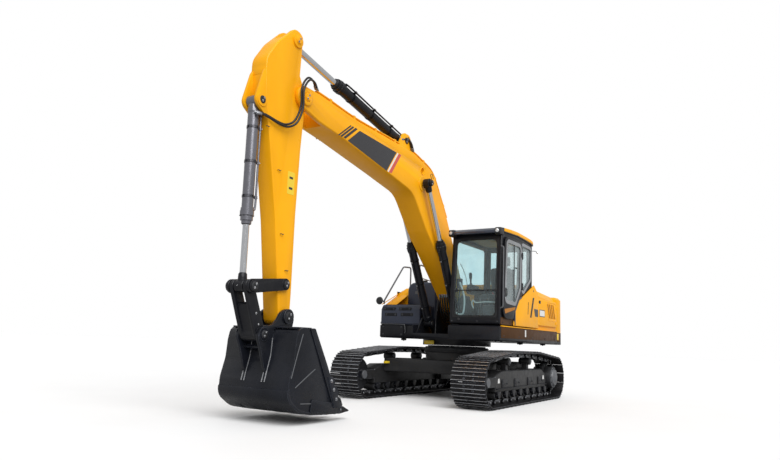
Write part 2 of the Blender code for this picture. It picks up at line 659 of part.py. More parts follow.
# ---- working front ------------------------------------------------------------------------------
def boom():
    foot = arc(BOOM_FOOT, 0.15, -165, 25, 7)
    back = [(-0.68, 2.93, 0.6), (-0.97, 3.38, 1.0), (-1.55, 4.10, 0.5), (-2.30, 4.26, 0.8), (-4.05, 4.28, 2.0)]
    belly = [(-4.45, 3.91, 1.0), (-3.22, 3.72, 3.0), (-2.27, 3.56, 0.5), (-1.72, 2.96, 0.8), (-1.0, 2.36, 1.5)]
    corners = [(*foot[-1], 0), *back, (-4.95, 4.36, 0.5), (BOOM_TIP[0], BOOM_TIP[1] + 0.155, 0)]
    tip = arc(BOOM_TIP, 0.155, 110, 260, 6)
    lower = [(*tip[-1], 0), (-4.95, 3.97, 0.2), *belly, (*foot[0], 0)]
    outline = rounded(corners, 3) + tip[:-1] + rounded(lower, 3) + foot[1:-1]
    body = side_prism(outline, -BOOM_HALF, BOOM_HALF, 0.012)
    shapes = [body]
    shapes.append(disc(BOOM_CYL_EYE, 0.13, -BOOM_HALF - 0.012, BOOM_HALF + 0.012, 20))
    shapes.append(disc(BOOM_TIP, 0.10, -BOOM_HALF - 0.03, -BOOM_HALF + 0.02, 18))
    shapes.append(disc(BOOM_TIP, 0.10, BOOM_HALF - 0.02, BOOM_HALF + 0.03, 18))
    ear = rounded(
        [(ARM_CYL_BASE[0] - 0.30, 4.20, 0), (ARM_CYL_BASE[0] + 0.34, 4.20, 0), (ARM_CYL_BASE[0] + 0.10, 4.55, 0.10),
         (ARM_CYL_BASE[0] - 0.10, 4.55, 0.10)],
        4,
    )
    for side in (-1, 1):
        shapes.append(side_prism(ear, *sorted((side * 0.10, side * 0.14))))
    slot = hull_of_circles((*BOOM_TIP, 0.20), (-4.97, 3.98, 0.14), (-4.98, 4.40, 0.13), (-5.87, 4.21, 0.30))
    fork = side_prism(slot, -FORK_HALF, FORK_HALF)
    hole = disc((-1.96, 4.01), 0.055, -0.5, 0.5, 16)
    return combine(shapes, [fork, hole])


def arm():
    pivot_side = arc(BOOM_TIP, 0.15, -60, 80, 6)
    low_end = arc(BUCKET_PIN, 0.11, 200, 350, 6)
    tail = arc(ARM_CYL_EYE, 0.15, 35, 130, 5)
    front = [(-5.80, 4.80, 0.6), (-6.00, 4.50, 0.25), (-5.98, 4.05, 0.5), (-5.84, 3.45, 1.5), (-5.65, 2.48, 2.0)]
    outline = (
        low_end
        + [(-5.265, 1.60), (-5.265, 2.60), (-5.235, 3.50)]
        + pivot_side
        + [(-5.33, 4.50)]
        + tail
        + rounded([(*tail[-1], 0), *front, (*low_end[0], 0)], 3)[1:-1]
    )
    body = side_prism(outline, -ARM_HALF, ARM_HALF, 0.012)
    shapes = [body]
    ear = hull_of_circles((*BUCKET_CYL_BASE, 0.10), (-5.85, 4.25, 0.18), (-5.80, 3.75, 0.08), steps=6)
    for side in (-1, 1):
        shapes.append(side_prism(ear, *sorted((side * 0.085, side * 0.125))))
        shapes.append(disc(ARM_CYL_EYE, 0.085, *sorted((side * 0.12, side * 0.155)), 16))
        shapes.append(disc(GUIDE_PIN, 0.07, *sorted((side * 0.12, side * 0.136)), 16))
    slot = hull_of_circles((*ARM_CYL_EYE, 0.19), (ARM_CYL_EYE[0] + 0.4, 4.96, 0.22), (-5.50, 5.4, 0.3), (-5.8, 5.2, .1))
    cylinder_slot = hull_of_circles((*BUCKET_CYL_BASE, 0.125), (-6.2, 3.6, 0.2), (-6.4, 4.0, 0.2))
    bore = disc(GUIDE_PIN, GUIDE_PIN_R + 0.003, -0.2, 0.2, 16)
    return combine(
        shapes, [side_prism(slot, -0.075, 0.075), side_prism(cylinder_slot, -0.081, 0.081), bore]
    )


def bucket():
    shell = [
        (-4.74, 0.105, 0), (-5.30, 0.125, 0), (-5.52, 0.16, 0.4), (-5.74, 0.31, 0.16), (-5.735, 0.52, 0.3),
        (-5.66, 0.76, 0.3), (-5.64, 0.98, 0.3), (-5.60, 1.15, 0.1), (-5.40, 1.15, 0),
    ]
    skin = rounded(shell, 3)
    cheek = skin + [(-5.29, 1.155), (-5.02, 0.72), (-4.72, 0.20)]
    inner = rounded(
        [(-4.50, 0.135, 0), (-5.30, 0.152, 0), (-5.50, 0.19, 0.37), (-5.712, 0.33, 0.14), (-5.708, 0.52, 0.3),
         (-5.632, 0.76, 0.3), (-5.612, 0.98, 0.3), (-5.585, 1.125, 0.07), (-5.38, 1.125, 0), (-5.2, 1.3, 0),
         (-4.5, 1.3, 0)],
        3,
    )
    solid = side_prism(cheek, -BUCKET_HALF, BUCKET_HALF)
    hollow = side_prism(inner, -BUCKET_HALF + PLATE, BUCKET_HALF - PLATE)
    shapes = [combine([solid], [hollow])]
    rib = rounded(
        [(-5.28, 1.14, 0), (-5.25, 1.27, 0.06), (-5.36, 1.42, 0.11), (-5.50, 1.34, 0.08), (-5.62, 1.16, 0.2),
         (-5.80, 1.17, 0.09), (-5.91, 1.05, 0.10), (-5.84, 0.90, 0.10), (-5.74, 0.62, 0.1), (-5.70, 0.60, 0),
         (-5.63, 0.80, 0), (-5.62, 1.13, 0)],
        3,
    )
    for side in (-1, 1):
        shapes.append(side_prism(rib, *sorted((side * 0.145, side * 0.185))))
        shapes.append(disc(BUCKET_PIN, 0.095, *sorted((side * 0.140, side * 0.21)), 18))
    shapes.append(side_prism([(-4.70, 0.100), (-4.98, 0.100), (-4.98, 0.145), (-4.70, 0.160)], -0.55, 0.55))
    tooth = [(-4.44, 0.115), (-4.46, 0.100), (-4.76, 0.085), (-4.76, 0.175), (-4.70, 0.180)]
    for i in range(5):
        x = -0.49 + 0.245 * i
        shapes.append(side_prism(tooth, x - 0.04, x + 0.04))
    return combine(shapes)


def guide_link():
    """Two bars outside the arm, held by the pin that turns in the arm's bore."""
    shapes = []
    outline = hull_of_circles((*GUIDE_PIN, 0.075), (*LINK_TOP, 0.085), steps=6)
    for side in (-1, 1):
        shapes.append(side_prism(outline, *sorted((side * 0.142, side * 0.177)), 0.006))
        shapes.append(disc(LINK_TOP, 0.07, *sorted((side * 0.17, side * 0.205)), 16))
        shapes.append(disc(GUIDE_PIN, 0.06, *sorted((side * 0.17, side * 0.192)), 16))
    shapes.append(disc(GUIDE_PIN, GUIDE_PIN_R, -0.15, 0.15, 16))
    return combine(shapes)


def push_link():
    """A fork at the top, a web below and a tube at the bucket's pin."""
    shapes = []
    outline = hull_of_circles((*LINK_TOP, 0.078), (*LINK_LOW, 0.085), steps=6)
    for side in (-1, 1):
        shapes.append(side_prism(outline, *sorted((side * 0.083, side * 0.135)), 0.006))
    shapes.append(disc(LINK_LOW, 0.085, -0.137, 0.137, 16))
    web_top, web_low = offset_point(LINK_TOP, LINK_LOW, 0.26), offset_point(LINK_TOP, LINK_LOW, 0.54)
    shapes.append(side_prism(hull_of_circles((*web_top, 0.06), (*web_low, 0.06), steps=4), -0.10, 0.10))
    return combine(shapes)


def cylinder(base, eye, gland, stroke_in, radius, rod_radius, x, barrel_half, eye_half, cap=0.0):
    """A barrel that turns on its base pin and a rod whose eye ends at the other pin.

    The rod can slide in by stroke_in before its inner end meets the barrel's bottom.
    """
    def at(point):
        return (x, *point)

    collar = offset_point(base, eye, gland - 0.16)
    mouth = offset_point(base, eye, gland)
    tail = offset_point(base, eye, 0.05)
    length = math.dist(base, eye)
    inside = offset_point(base, eye, 0.18 + stroke_in)
    bottom = offset_point(base, eye, 0.17)
    barrel = combine(
        [bar(at(tail), at(mouth), radius, 18), bar(at(collar), at(mouth), radius * 1.18, 18),
         disc(base, radius * 1.05, x - barrel_half, x + barrel_half, 18)],
        [bar(at(bottom), at(offset_point(base, eye, gland + 0.1)), rod_radius + 0.004, 18)],
    )
    end = offset_point(base, eye, length - 0.05)
    neck = offset_point(base, eye, length - 0.16)
    pieces = [
        bar(at(inside), at(end), rod_radius, 16), bar(at(neck), at(end), rod_radius * 1.35, 16),
        disc(eye, rod_radius * 1.9, x - eye_half, x + eye_half, 18),
    ]
    if cap:
        pieces.append(disc(eye, rod_radius * 1.3, *sorted((x, x + cap)), 14))
    return barrel, combine(pieces)


def build_front(machine):
    machine.add("boom", "boom", YELLOW, boom())
    machine.add("arm", "arm", YELLOW, arm())
    machine.add("bucket", "bucket", STEEL_BLACK, bucket(), smooth=False)
    machine.add("guide_link", "guide_link", BLACK, guide_link())
    machine.add("push_link", "push_link", BLACK, push_link())
    for side, name in ((1, "left"), (-1, "right")):
        barrel, rod = cylinder(
            BOOM_CYL_BASE, BOOM_CYL_EYE, 1.66, 0.62, 0.078, 0.0425, side * BOOM_CYL_X, 0.082, 0.055, side * 0.085
        )
        machine.add(f"boom_cylinder_{name}", f"boom_barrel_{name}", BLACK, barrel)
        machine.add(f"boom_rod_{name}", f"boom_rod_{name}", CHROME, rod)
    barrel, rod = cylinder(ARM_CYL_BASE, ARM_CYL_EYE, 1.98, 0.84, 0.085, 0.0475, 0, 0.093, 0.065)
    machine.add("arm_cylinder", "arm_barrel", BLACK, barrel)
    machine.add("arm_rod", "arm_rod", CHROME, rod)
    barrel, rod = cylinder(BUCKET_CYL_BASE, LINK_TOP, 1.56, 0.56, 0.072, 0.040, 0, 0.077, 0.070)
    machine.add("bucket_cylinder", "bucket_barrel", GUNMETAL, barrel)
    machine.add("bucket_rod", "bucket_rod", CHROME, rod)


def main():
    clear_scene()
    machine = Machine()
    machine.body("undercarriage")
    machine.body("upperstructure")
    machine.body("boom", (0, *BOOM_FOOT))
    machine.body("arm", (0, *BOOM_TIP))
    machine.body("bucket", (0, *BUCKET_PIN))
    machine.body("guide_link", (0, *GUIDE_PIN))
    machine.body("push_link", (0, *LINK_LOW))
    for side, name in ((1, "left"), (-1, "right")):
        for piece in ("barrel", "rod"):
            machine.body(f"boom_{piece}_{name}", (side * BOOM_CYL_X, *BOOM_CYL_BASE))
    for piece in ("barrel", "rod"):
        machine.body(f"arm_{piece}", (0, *ARM_CYL_BASE))
        machine.body(f"bucket_{piece}", (0, *BUCKET_CYL_BASE))
    machine.body("cab_door", (CAB_DOOR_HINGE_X, CAB_DOOR_HINGE_Y, CAB_FLOOR))
    machine.body("left_side_door", (DOOR_FACE, DOOR_Y[1], DOOR_Z[0]))
    machine.body("right_side_door", (-DOOR_FACE, DOOR_Y[1], DOOR_Z[0]))
    machine.body("engine_hood", (0, HOOD_Y[1], HOOD_HINGE_Z))
    build_undercarriage(machine)
    build_upperstructure(machine)
    build_front(machine)


main()
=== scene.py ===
"""Looks of the crawler excavator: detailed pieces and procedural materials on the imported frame."""
import json
import math

import bmesh
import bpy
from mathutils import Matrix, Vector
from mathutils.bvhtree import BVHTree


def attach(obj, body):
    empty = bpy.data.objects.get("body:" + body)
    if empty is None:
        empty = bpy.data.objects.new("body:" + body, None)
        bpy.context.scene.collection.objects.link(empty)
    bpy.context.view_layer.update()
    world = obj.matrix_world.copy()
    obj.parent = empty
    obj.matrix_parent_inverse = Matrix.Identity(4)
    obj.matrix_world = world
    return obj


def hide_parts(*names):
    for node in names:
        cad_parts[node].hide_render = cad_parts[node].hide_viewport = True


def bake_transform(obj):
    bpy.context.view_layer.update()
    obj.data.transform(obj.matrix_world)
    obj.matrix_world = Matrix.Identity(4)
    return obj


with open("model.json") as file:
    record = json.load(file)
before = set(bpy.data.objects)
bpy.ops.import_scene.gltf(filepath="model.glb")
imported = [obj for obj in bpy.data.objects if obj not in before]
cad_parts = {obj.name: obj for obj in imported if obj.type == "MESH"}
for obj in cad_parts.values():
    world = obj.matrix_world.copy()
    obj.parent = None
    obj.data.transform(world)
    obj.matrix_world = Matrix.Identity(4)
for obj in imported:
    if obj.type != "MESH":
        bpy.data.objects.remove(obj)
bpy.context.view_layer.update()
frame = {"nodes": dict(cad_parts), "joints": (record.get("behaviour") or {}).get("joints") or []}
NODES = frame["nodes"]
PIN = {j["name"]: Vector(j["pos_m"]) for j in frame["joints"] if "pos_m" in j}
SWING_Y = PIN["swing"].y  # shapes are made in the machine frame, whose y = 0 is the swing axis


# ---- materials ----------------------------------------------------------------------------------
EDGE_START, EDGE_END = 0.88, 0.98  # a rounded normal's dot with the true one, at a full edge and at a flat


class Nodes:
    """A material's node tree, with short calls for the patterns that the finishes share."""

    def __init__(self, name):
        self.material = bpy.data.materials.new(name)
        self.material.use_nodes = True
        self.tree = self.material.node_tree
        self.shader = self.tree.nodes["Principled BSDF"]
        self.place = self.tree.nodes.new("ShaderNodeTexCoord").outputs["Object"]

    def node(self, kind, **values):
        made = self.tree.nodes.new("ShaderNode" + kind)
        for key, value in values.items():
            setattr(made, key, value)
        return made

    def link(self, out, into):
        self.tree.links.new(out, into)

    def noise(self, scale, detail=4.0, roughness=0.55, stretch=None):
        made = self.node("TexNoise")
        made.inputs["Scale"].default_value = scale
        made.inputs["Detail"].default_value = detail
        made.inputs["Roughness"].default_value = roughness
        source = self.place
        if stretch:
            mapping = self.node("Mapping")
            mapping.inputs["Scale"].default_value = stretch
            self.link(self.place, mapping.inputs["Vector"])
            source = mapping.outputs["Vector"]
        self.link(source, made.inputs["Vector"])
        return made.outputs["Fac"]

    def spread(self, value, low, high, start=0.3, end=0.7):
        made = self.node("MapRange")
        for key, number in (("From Min", start), ("From Max", end), ("To Min", low), ("To Max", high)):
            made.inputs[key].default_value = number
        self.link(value, made.inputs["Value"])
        return made.outputs["Result"]

    def mix(self, fac, first, second):
        made = self.node("Mix", data_type="RGBA")
        self.link(fac, made.inputs["Factor"])
        for socket, colour in ((made.inputs[6], first), (made.inputs[7], second)):
            if isinstance(colour, tuple):
                socket.default_value = (*colour, 1.0)
            else:
                self.link(colour, socket)
        return made.outputs[2]

    def maths(self, operation, first, second):
        made = self.node("Math", operation=operation)
        for socket, value in zip(made.inputs, (first, second)):
            if isinstance(value, (int, float)):
                socket.default_value = value
            else:
                self.link(value, socket)
        return made.outputs[0]

    def edges(self, radius):
        """1 along sharp edges, 0 on flats: how far a rounded normal leaves the true one."""
        soft = self.node("Bevel", samples=4)
        soft.inputs["Radius"].default_value = radius
        true = self.node("NewGeometry").outputs["Normal"]
        dot = self.node("VectorMath", operation="DOT_PRODUCT")
        self.link(soft.outputs["Normal"], dot.inputs[0])
        self.link(true, dot.inputs[1])
        return self.spread(dot.outputs["Value"], 1.0, 0.0, EDGE_START, EDGE_END)

    def bump(self, height, distance):
        made = self.node("Bump")
        made.inputs["Distance"].default_value = distance
        self.link(height, made.inputs["Height"])
        self.link(made.outputs["Normal"], self.shader.inputs["Normal"])

    def to(self, socket, out):
        self.link(out, self.shader.inputs[socket])

    def fix(self, **values):
        for key, value in values.items():
            self.shader.inputs[key.replace("_", " ")].default_value = value


def shade(colour, factor):
    return tuple(min(1.0, c * factor) for c in colour)


def paint(name, colour, rough, coat=0.3, vary=0.1, dust=0.0, edge_wear_and_highlight=None, grain=0.0004, metallic=0.0,
        level=0.5):
    """Sprayed paint: cloudy tone, orange peel, dust in patches, and edges lightened as worn metal and as a
    painted highlight.
    """
    n = Nodes(name)
    cloud = n.noise(1.7, 5.0)
    tone = n.mix(n.spread(cloud, 0.0, 1.0), shade(colour, 1 - vary), shade(colour, 1 + vary))
    if dust:
        film = n.spread(n.noise(6.0, 8.0, 0.7), 0.0, dust, 0.45, 0.75)
        tone = n.mix(film, tone, (0.32, 0.29, 0.25))
    # Lighter edges: partly worn metal, partly a painted highlight.
    if edge_wear_and_highlight:
        rubbed = n.maths("MULTIPLY", n.edges(0.006), n.spread(n.noise(14.0, 6.0, 0.7), 0.15, 1.0, 0.4, 0.6))
        tone = n.mix(rubbed, tone, edge_wear_and_highlight)
    n.to("Base Color", tone)
    n.to("Roughness", n.spread(n.noise(9.0, 6.0, 0.65), max(rough - 0.07, 0.02), rough + 0.09))
    n.bump(n.noise(150.0, 2.0), grain)
    n.fix(Metallic=metallic, Coat_Weight=coat, Coat_Roughness=0.12, Specular_IOR_Level=level)
    return n.material


def cast_finish(name, colour, rough, metallic, grain=0.0015, scale=70.0):
    """Rough cast or worn rolled steel, pitted and stained."""
    n = Nodes(name)
    stain = n.spread(n.noise(5.0, 7.0, 0.65), 0.0, 1.0, 0.35, 0.68)
    tone = n.mix(stain, shade(colour, 0.6), shade(colour, 1.5))
    rubbed = n.maths("MULTIPLY", n.edges(0.007), n.spread(n.noise(22.0, 4.0), 0.3, 1.0))
    n.to("Base Color", n.mix(rubbed, tone, shade(colour, 4.5)))
    n.to("Roughness", n.spread(n.noise(12.0, 6.0, 0.7), rough - 0.12, rough + 0.12))
    n.bump(n.noise(scale, 6.0, 0.6), grain)
    n.fix(Metallic=metallic)
    return n.material


def chrome_finish(name):
    n = Nodes(name)
    streak = n.noise(40.0, 3.0, 0.5, (6.0, 6.0, 0.4))
    n.to("Base Color", n.mix(n.spread(streak, 0.0, 1.0), (0.6, 0.62, 0.65), (0.8, 0.81, 0.83)))
    n.to("Roughness", n.spread(streak, 0.08, 0.2))
    n.bump(n.noise(260.0, 2.0), 0.00008)
    n.fix(Metallic=1.0)
    return n.material


def rubber_finish(name, colour=(0.014, 0.014, 0.015), rough=0.5, grain=0.0006):
    n = Nodes(name)
    bloom = n.spread(n.noise(18.0, 5.0, 0.6), 0.0, 1.0)
    n.to("Base Color", n.mix(bloom, colour, shade(colour, 2.2)))
    n.to("Roughness", n.spread(n.noise(30.0, 4.0), rough - 0.08, rough + 0.12))
    n.bump(n.noise(210.0, 3.0), grain)
    return n.material


def glass_finish(name, tint, film):
    """Flat safety glass: tinted and clear, with a slanting reflection and a thin film of dust."""
    n = Nodes(name)
    n.tree.nodes.remove(n.shader)
    clear = n.node("BsdfTransparent")
    n.link(n.mix(n.spread(n.noise(2.0, 3.0), 0.0, 1.0), tint, shade(tint, 1.08)), clear.inputs["Color"])
    gloss = n.node("BsdfGlossy")
    gloss.inputs["Roughness"].default_value = 0.03
    haze = n.node("BsdfDiffuse")
    haze.inputs["Color"].default_value = (0.7, 0.8, 0.82, 1.0)
    milky = n.node("MixShader")
    n.link(n.spread(n.noise(3.0, 6.0, 0.6), film * 0.7, film * 1.3), milky.inputs[0])
    n.link(clear.outputs[0], milky.inputs[1])
    n.link(haze.outputs[0], milky.inputs[2])
    slant = n.maths("POWER", n.node("LayerWeight").outputs["Facing"], 5.0)
    mixed = n.node("MixShader")
    n.link(n.maths("ADD", n.maths("MULTIPLY", slant, 0.6), 0.03), mixed.inputs[0])
    n.link(milky.outputs[0], mixed.inputs[1])
    n.link(gloss.outputs[0], mixed.inputs[2])
    n.link(mixed.outputs[0], n.tree.nodes["Material Output"].inputs["Surface"])
    return n.material


def fabric_finish(name, colour):
    """Woven seat cloth: two crossed thread waves over a cloudy tone."""
    n = Nodes(name)
    n.to("Base Color", n.mix(n.spread(n.noise(25.0, 5.0), 0.0, 1.0), shade(colour, 0.7),
        shade(colour, 1.6)))
    waves = []
    for direction in ("X", "Z"):
        wave = n.node("TexWave", bands_direction=direction)
        wave.inputs["Scale"].default_value = 130.0
        n.link(n.place, wave.inputs["Vector"])
        waves.append(wave.outputs["Fac"])
    n.bump(n.maths("ADD", waves[0], waves[1]), 0.0006)
    n.to("Roughness", n.spread(n.noise(60.0), 0.8, 0.95))
    n.fix(Sheen_Weight=0.3)
    return n.material


def lamp_finish(name):
    """A ribbed clear lamp lens over a bright reflector."""
    n = Nodes(name)
    wave = n.node("TexWave", bands_direction="X")
    wave.inputs["Scale"].default_value = 45.0
    n.link(n.place, wave.inputs["Vector"])
    n.to("Base Color", n.mix(wave.outputs["Fac"], (0.62, 0.66, 0.68), (0.92, 0.94, 0.95)))
    n.bump(wave.outputs["Fac"], 0.001)
    n.fix(Metallic=0.6, Roughness=0.12, Coat_Weight=1.0)
    return n.material


def floor_finish(name):
    """A pale floor, whose bounce onto the machine is weaker than it looks."""
    n = Nodes(name)
    seen = n.node("LightPath").outputs["Is Camera Ray"]
    cloud = n.spread(n.noise(0.6, 3.0), 0.0, 1.0)
    n.to("Base Color", n.mix(seen, (0.4, 0.4, 0.4), n.mix(cloud, (0.93, 0.93, 0.93), (0.95, 0.95, 0.95))))
    n.fix(Roughness=0.6, Specular_IOR_Level=0.2)
    return n.material


YELLOW_TONE, BLACK_TONE = (0.98, 0.43, 0.006), (0.0065, 0.007, 0.01)
# Light bluish steel on the edges of the track and frame paint: worn metal and a painted highlight. BLACK and
# BUCKET give their own lighter edge colours for the same.
STEEL_EDGE_WEAR_AND_HIGHLIGHT = (0.26, 0.28, 0.33)
YELLOW = paint("yellow", YELLOW_TONE, 0.34, coat=0.08, vary=0.05, grain=0.00025, level=0.15)
BLACK = paint("black", BLACK_TONE, 0.34, 0.1, 0.25, 0.02, (0.06, 0.065, 0.075), level=0.25)
SLATE = paint("slate", (0.032, 0.04, 0.066), 0.34, 0.2, 0.12, 0.02, level=0.35)
BUCKET = paint("bucket_black", (0.0085, 0.0098, 0.0145), 0.28, 0.1, 0.3, 0.015, (0.1, 0.11, 0.14), 0.0007,
    level=0.25)
TRACK = paint("track_steel", (0.011, 0.0105, 0.012), 0.32, 0.1, 0.35, 0.03, STEEL_EDGE_WEAR_AND_HIGHLIGHT, 0.0012, 0.3,
    level=0.3)
CAST = cast_finish("cast", (0.03, 0.031, 0.034), 0.55, 0.5)
GREY = paint("grey_hub", (0.1, 0.105, 0.115), 0.42, 0.1, 0.12, 0.1)
GUNMETAL = paint("gunmetal", (0.19, 0.19, 0.215), 0.27, 0.4, 0.12, metallic=0.6)
CHROME = chrome_finish("chrome")
STEEL = cast_finish("bright_steel", (0.24, 0.25, 0.27), 0.35, 0.9, 0.0004, 120.0)
# Pale steel for strips on the shoes' rib tops: worn tops and a painted highlight.
WORN_HIGHLIGHT = cast_finish("worn_highlight_steel", (0.46, 0.48, 0.52), 0.3, 0.9, 0.0003, 120.0)
FRAME_BLACK = paint("frame_black", (0.02, 0.02, 0.021), 0.4, 0.1, 0.2, 0.03, STEEL_EDGE_WEAR_AND_HIGHLIGHT, level=0.3)
RUBBER = rubber_finish("rubber", (0.007, 0.007, 0.008))
PLASTIC = rubber_finish("plastic", (0.01, 0.0105, 0.012), 0.42, 0.0009)
GLASS = glass_finish("glass", (0.85, 0.955, 0.975), 0.05)
SIDE_GLASS = glass_finish("side_glass", (0.9, 0.93, 0.93), 0.2)
CLOTH = fabric_finish("seat_cloth", (0.018, 0.019, 0.022))
LAMP = lamp_finish("lamp")
GLOSS = paint("gloss_black", (0.018, 0.024, 0.042), 0.1, 0.6, 0.2, 0.01)
SMOKED = paint("smoked_glass", (0.21, 0.22, 0.235), 0.08, 0.8, 0.25, 0.05)
# Dark amber: yellow paint with painted shade, for the slots of the left door's vent; also the wedge below the
# door window.
SHADED_AMBER = paint("shaded_amber", (0.42, 0.155, 0.005), 0.36, 0.1, 0.1, level=0.2)
# Dark ochre: the yellow paint with painted shade, and on the cab side a painted reflection of the deck.
SHADE_AND_REFLECTION_OCHRE = paint("shaded_and_reflected_yellow", (0.07, 0.029, 0.008), 0.36, 0.0, 0.15, level=0.12)
SCREEN = paint("screen", (0.02, 0.05, 0.07), 0.12, 0.8, 0.3)
WHITE = paint("label_white", (0.78, 0.78, 0.76), 0.4, 0.2, 0.03)
PINK = paint("stripe_red", (0.6, 0.075, 0.065), 0.35, 0.4, 0.05)
STICKER = paint("sticker_yellow", (0.88, 0.62, 0.03), 0.35, 0.3, 0.04)
DECAL = paint("decal_grey", (0.02, 0.02, 0.024), 0.32, 0.3, 0.08)
RED = paint("tail_red", (0.4, 0.008, 0.008), 0.15, 0.8, 0.1)
LIGHT = paint("inner_grey", (0.42, 0.44, 0.43), 0.5, 0.0, 0.06)
MIRROR = chrome_finish("mirror")
FLOOR = floor_finish("studio_floor")


# ---- shapes -------------------------------------------------------------------------------------
UP, DOWN, AHEAD, BACK = (0, 0, 1), (0, 0, -1), (0, -1, 0), (0, 1, 0)
ABOVE = 8.0  # rays that look for a surface from above start here
RIM = 0.004  # how far a drum's rims are eased
SHARP = 35  # edges past this angle are drawn sharp


def polar(centre, radius, degrees):
    """The point of a circle at an angle."""
    angle = math.radians(degrees)
    return centre[0] + radius * math.cos(angle), centre[1] + radius * math.sin(angle)


def arc(centre, radius, start, end, steps):
    """Points on a circle from one angle to another."""
    return [polar(centre, radius, start + (end - start) * i / steps) for i in range(steps + 1)]


def rect(u0, u1, v0, v1, radius=0, steps=4):
    """A rectangle's outline, its corners filleted where a radius is given."""
    return rounded([(u0, v0, radius), (u1, v0, radius), (u1, v1, radius), (u0, v1, radius)], steps)


def at_x(x, outline):
    """Points (y, z) placed at one x."""
    return [(x, *p) for p in outline]


def at_y(y, outline):
    """Points (x, z) placed at one y."""
    return [(x, y, z) for x, z in outline]


def about(middle, half):
    """A range round its middle."""
    return middle - half, middle + half


def skin(face, side, thick, start=0):
    """The low and the high end of a layer that stands on a face, on the machine's left (1) or right (-1)."""
    return sorted((face + side * start, face + side * thick))


def rounded(corners, steps=6):
    """An outline whose corners (u, v, radius) are filleted."""
    outline = []
    for i, (u, v, radius) in enumerate(corners):
        here = Vector((u, v))
        if not radius:
            outline.append((u, v))
            continue
        back = (Vector(corners[i - 1][:2]) - here).normalized()
        ahead = (Vector(corners[(i + 1) % len(corners)][:2]) - here).normalized()
        half = back.angle(ahead) / 2
        centre = here + (back + ahead).normalized() * radius / math.sin(half)
        first, last = (here + side * radius / math.tan(half) - centre for side in (back, ahead))
        sweep = first.angle_signed(last)
        for k in range(steps + 1):
            turned = first.copy()
            turned.rotate(Matrix.Rotation(-sweep * k / steps, 2))
            outline.append(tuple(centre + turned))
    return outline


def capsule(first, last, radius, steps=10):
    """The outline round two equal circles."""
    a, b = Vector(first), Vector(last)
    angle = math.degrees(math.atan2((b - a).y, (b - a).x))
    return arc(first, radius, angle + 90, angle + 270, steps) + arc(last, radius, angle - 90, angle + 90,
        steps)


def smooth_path(points, steps=6):
    """A Catmull-Rom curve through the points."""
    points = [Vector(p) for p in points]
    padded = [2 * points[0] - points[1], *points, 2 * points[-1] - points[-2]]
    path = []
    for a, b, c, d in zip(padded, padded[1:], padded[2:], padded[3:]):
        for k in range(steps):
            t = k / steps
            path.append(0.5 * (2 * b + (c - a) * t + (2 * a - 5 * b + 4 * c - d) * t**2
                + (3 * b - a - 3 * c + d) * t**3))
    return [*path, points[-1]]


def around(middle, side, other, radius, sides):
    """Points on a circle in the plane of two directions."""
    angles = (2 * math.pi * k / sides for k in range(sides))
    return [middle + radius * (side * math.cos(a) + other * math.sin(a)) for a in angles]


PLACES = {"x": lambda u, v, w: (w, u, v), "y": lambda u, v, w: (u, w, v), "z": lambda u, v, w: (u, v, w)}


def placed(name, data):
    """A new object in the scene."""
    made = bpy.data.objects.new(name, data)
    bpy.context.collection.objects.link(made)
    return made


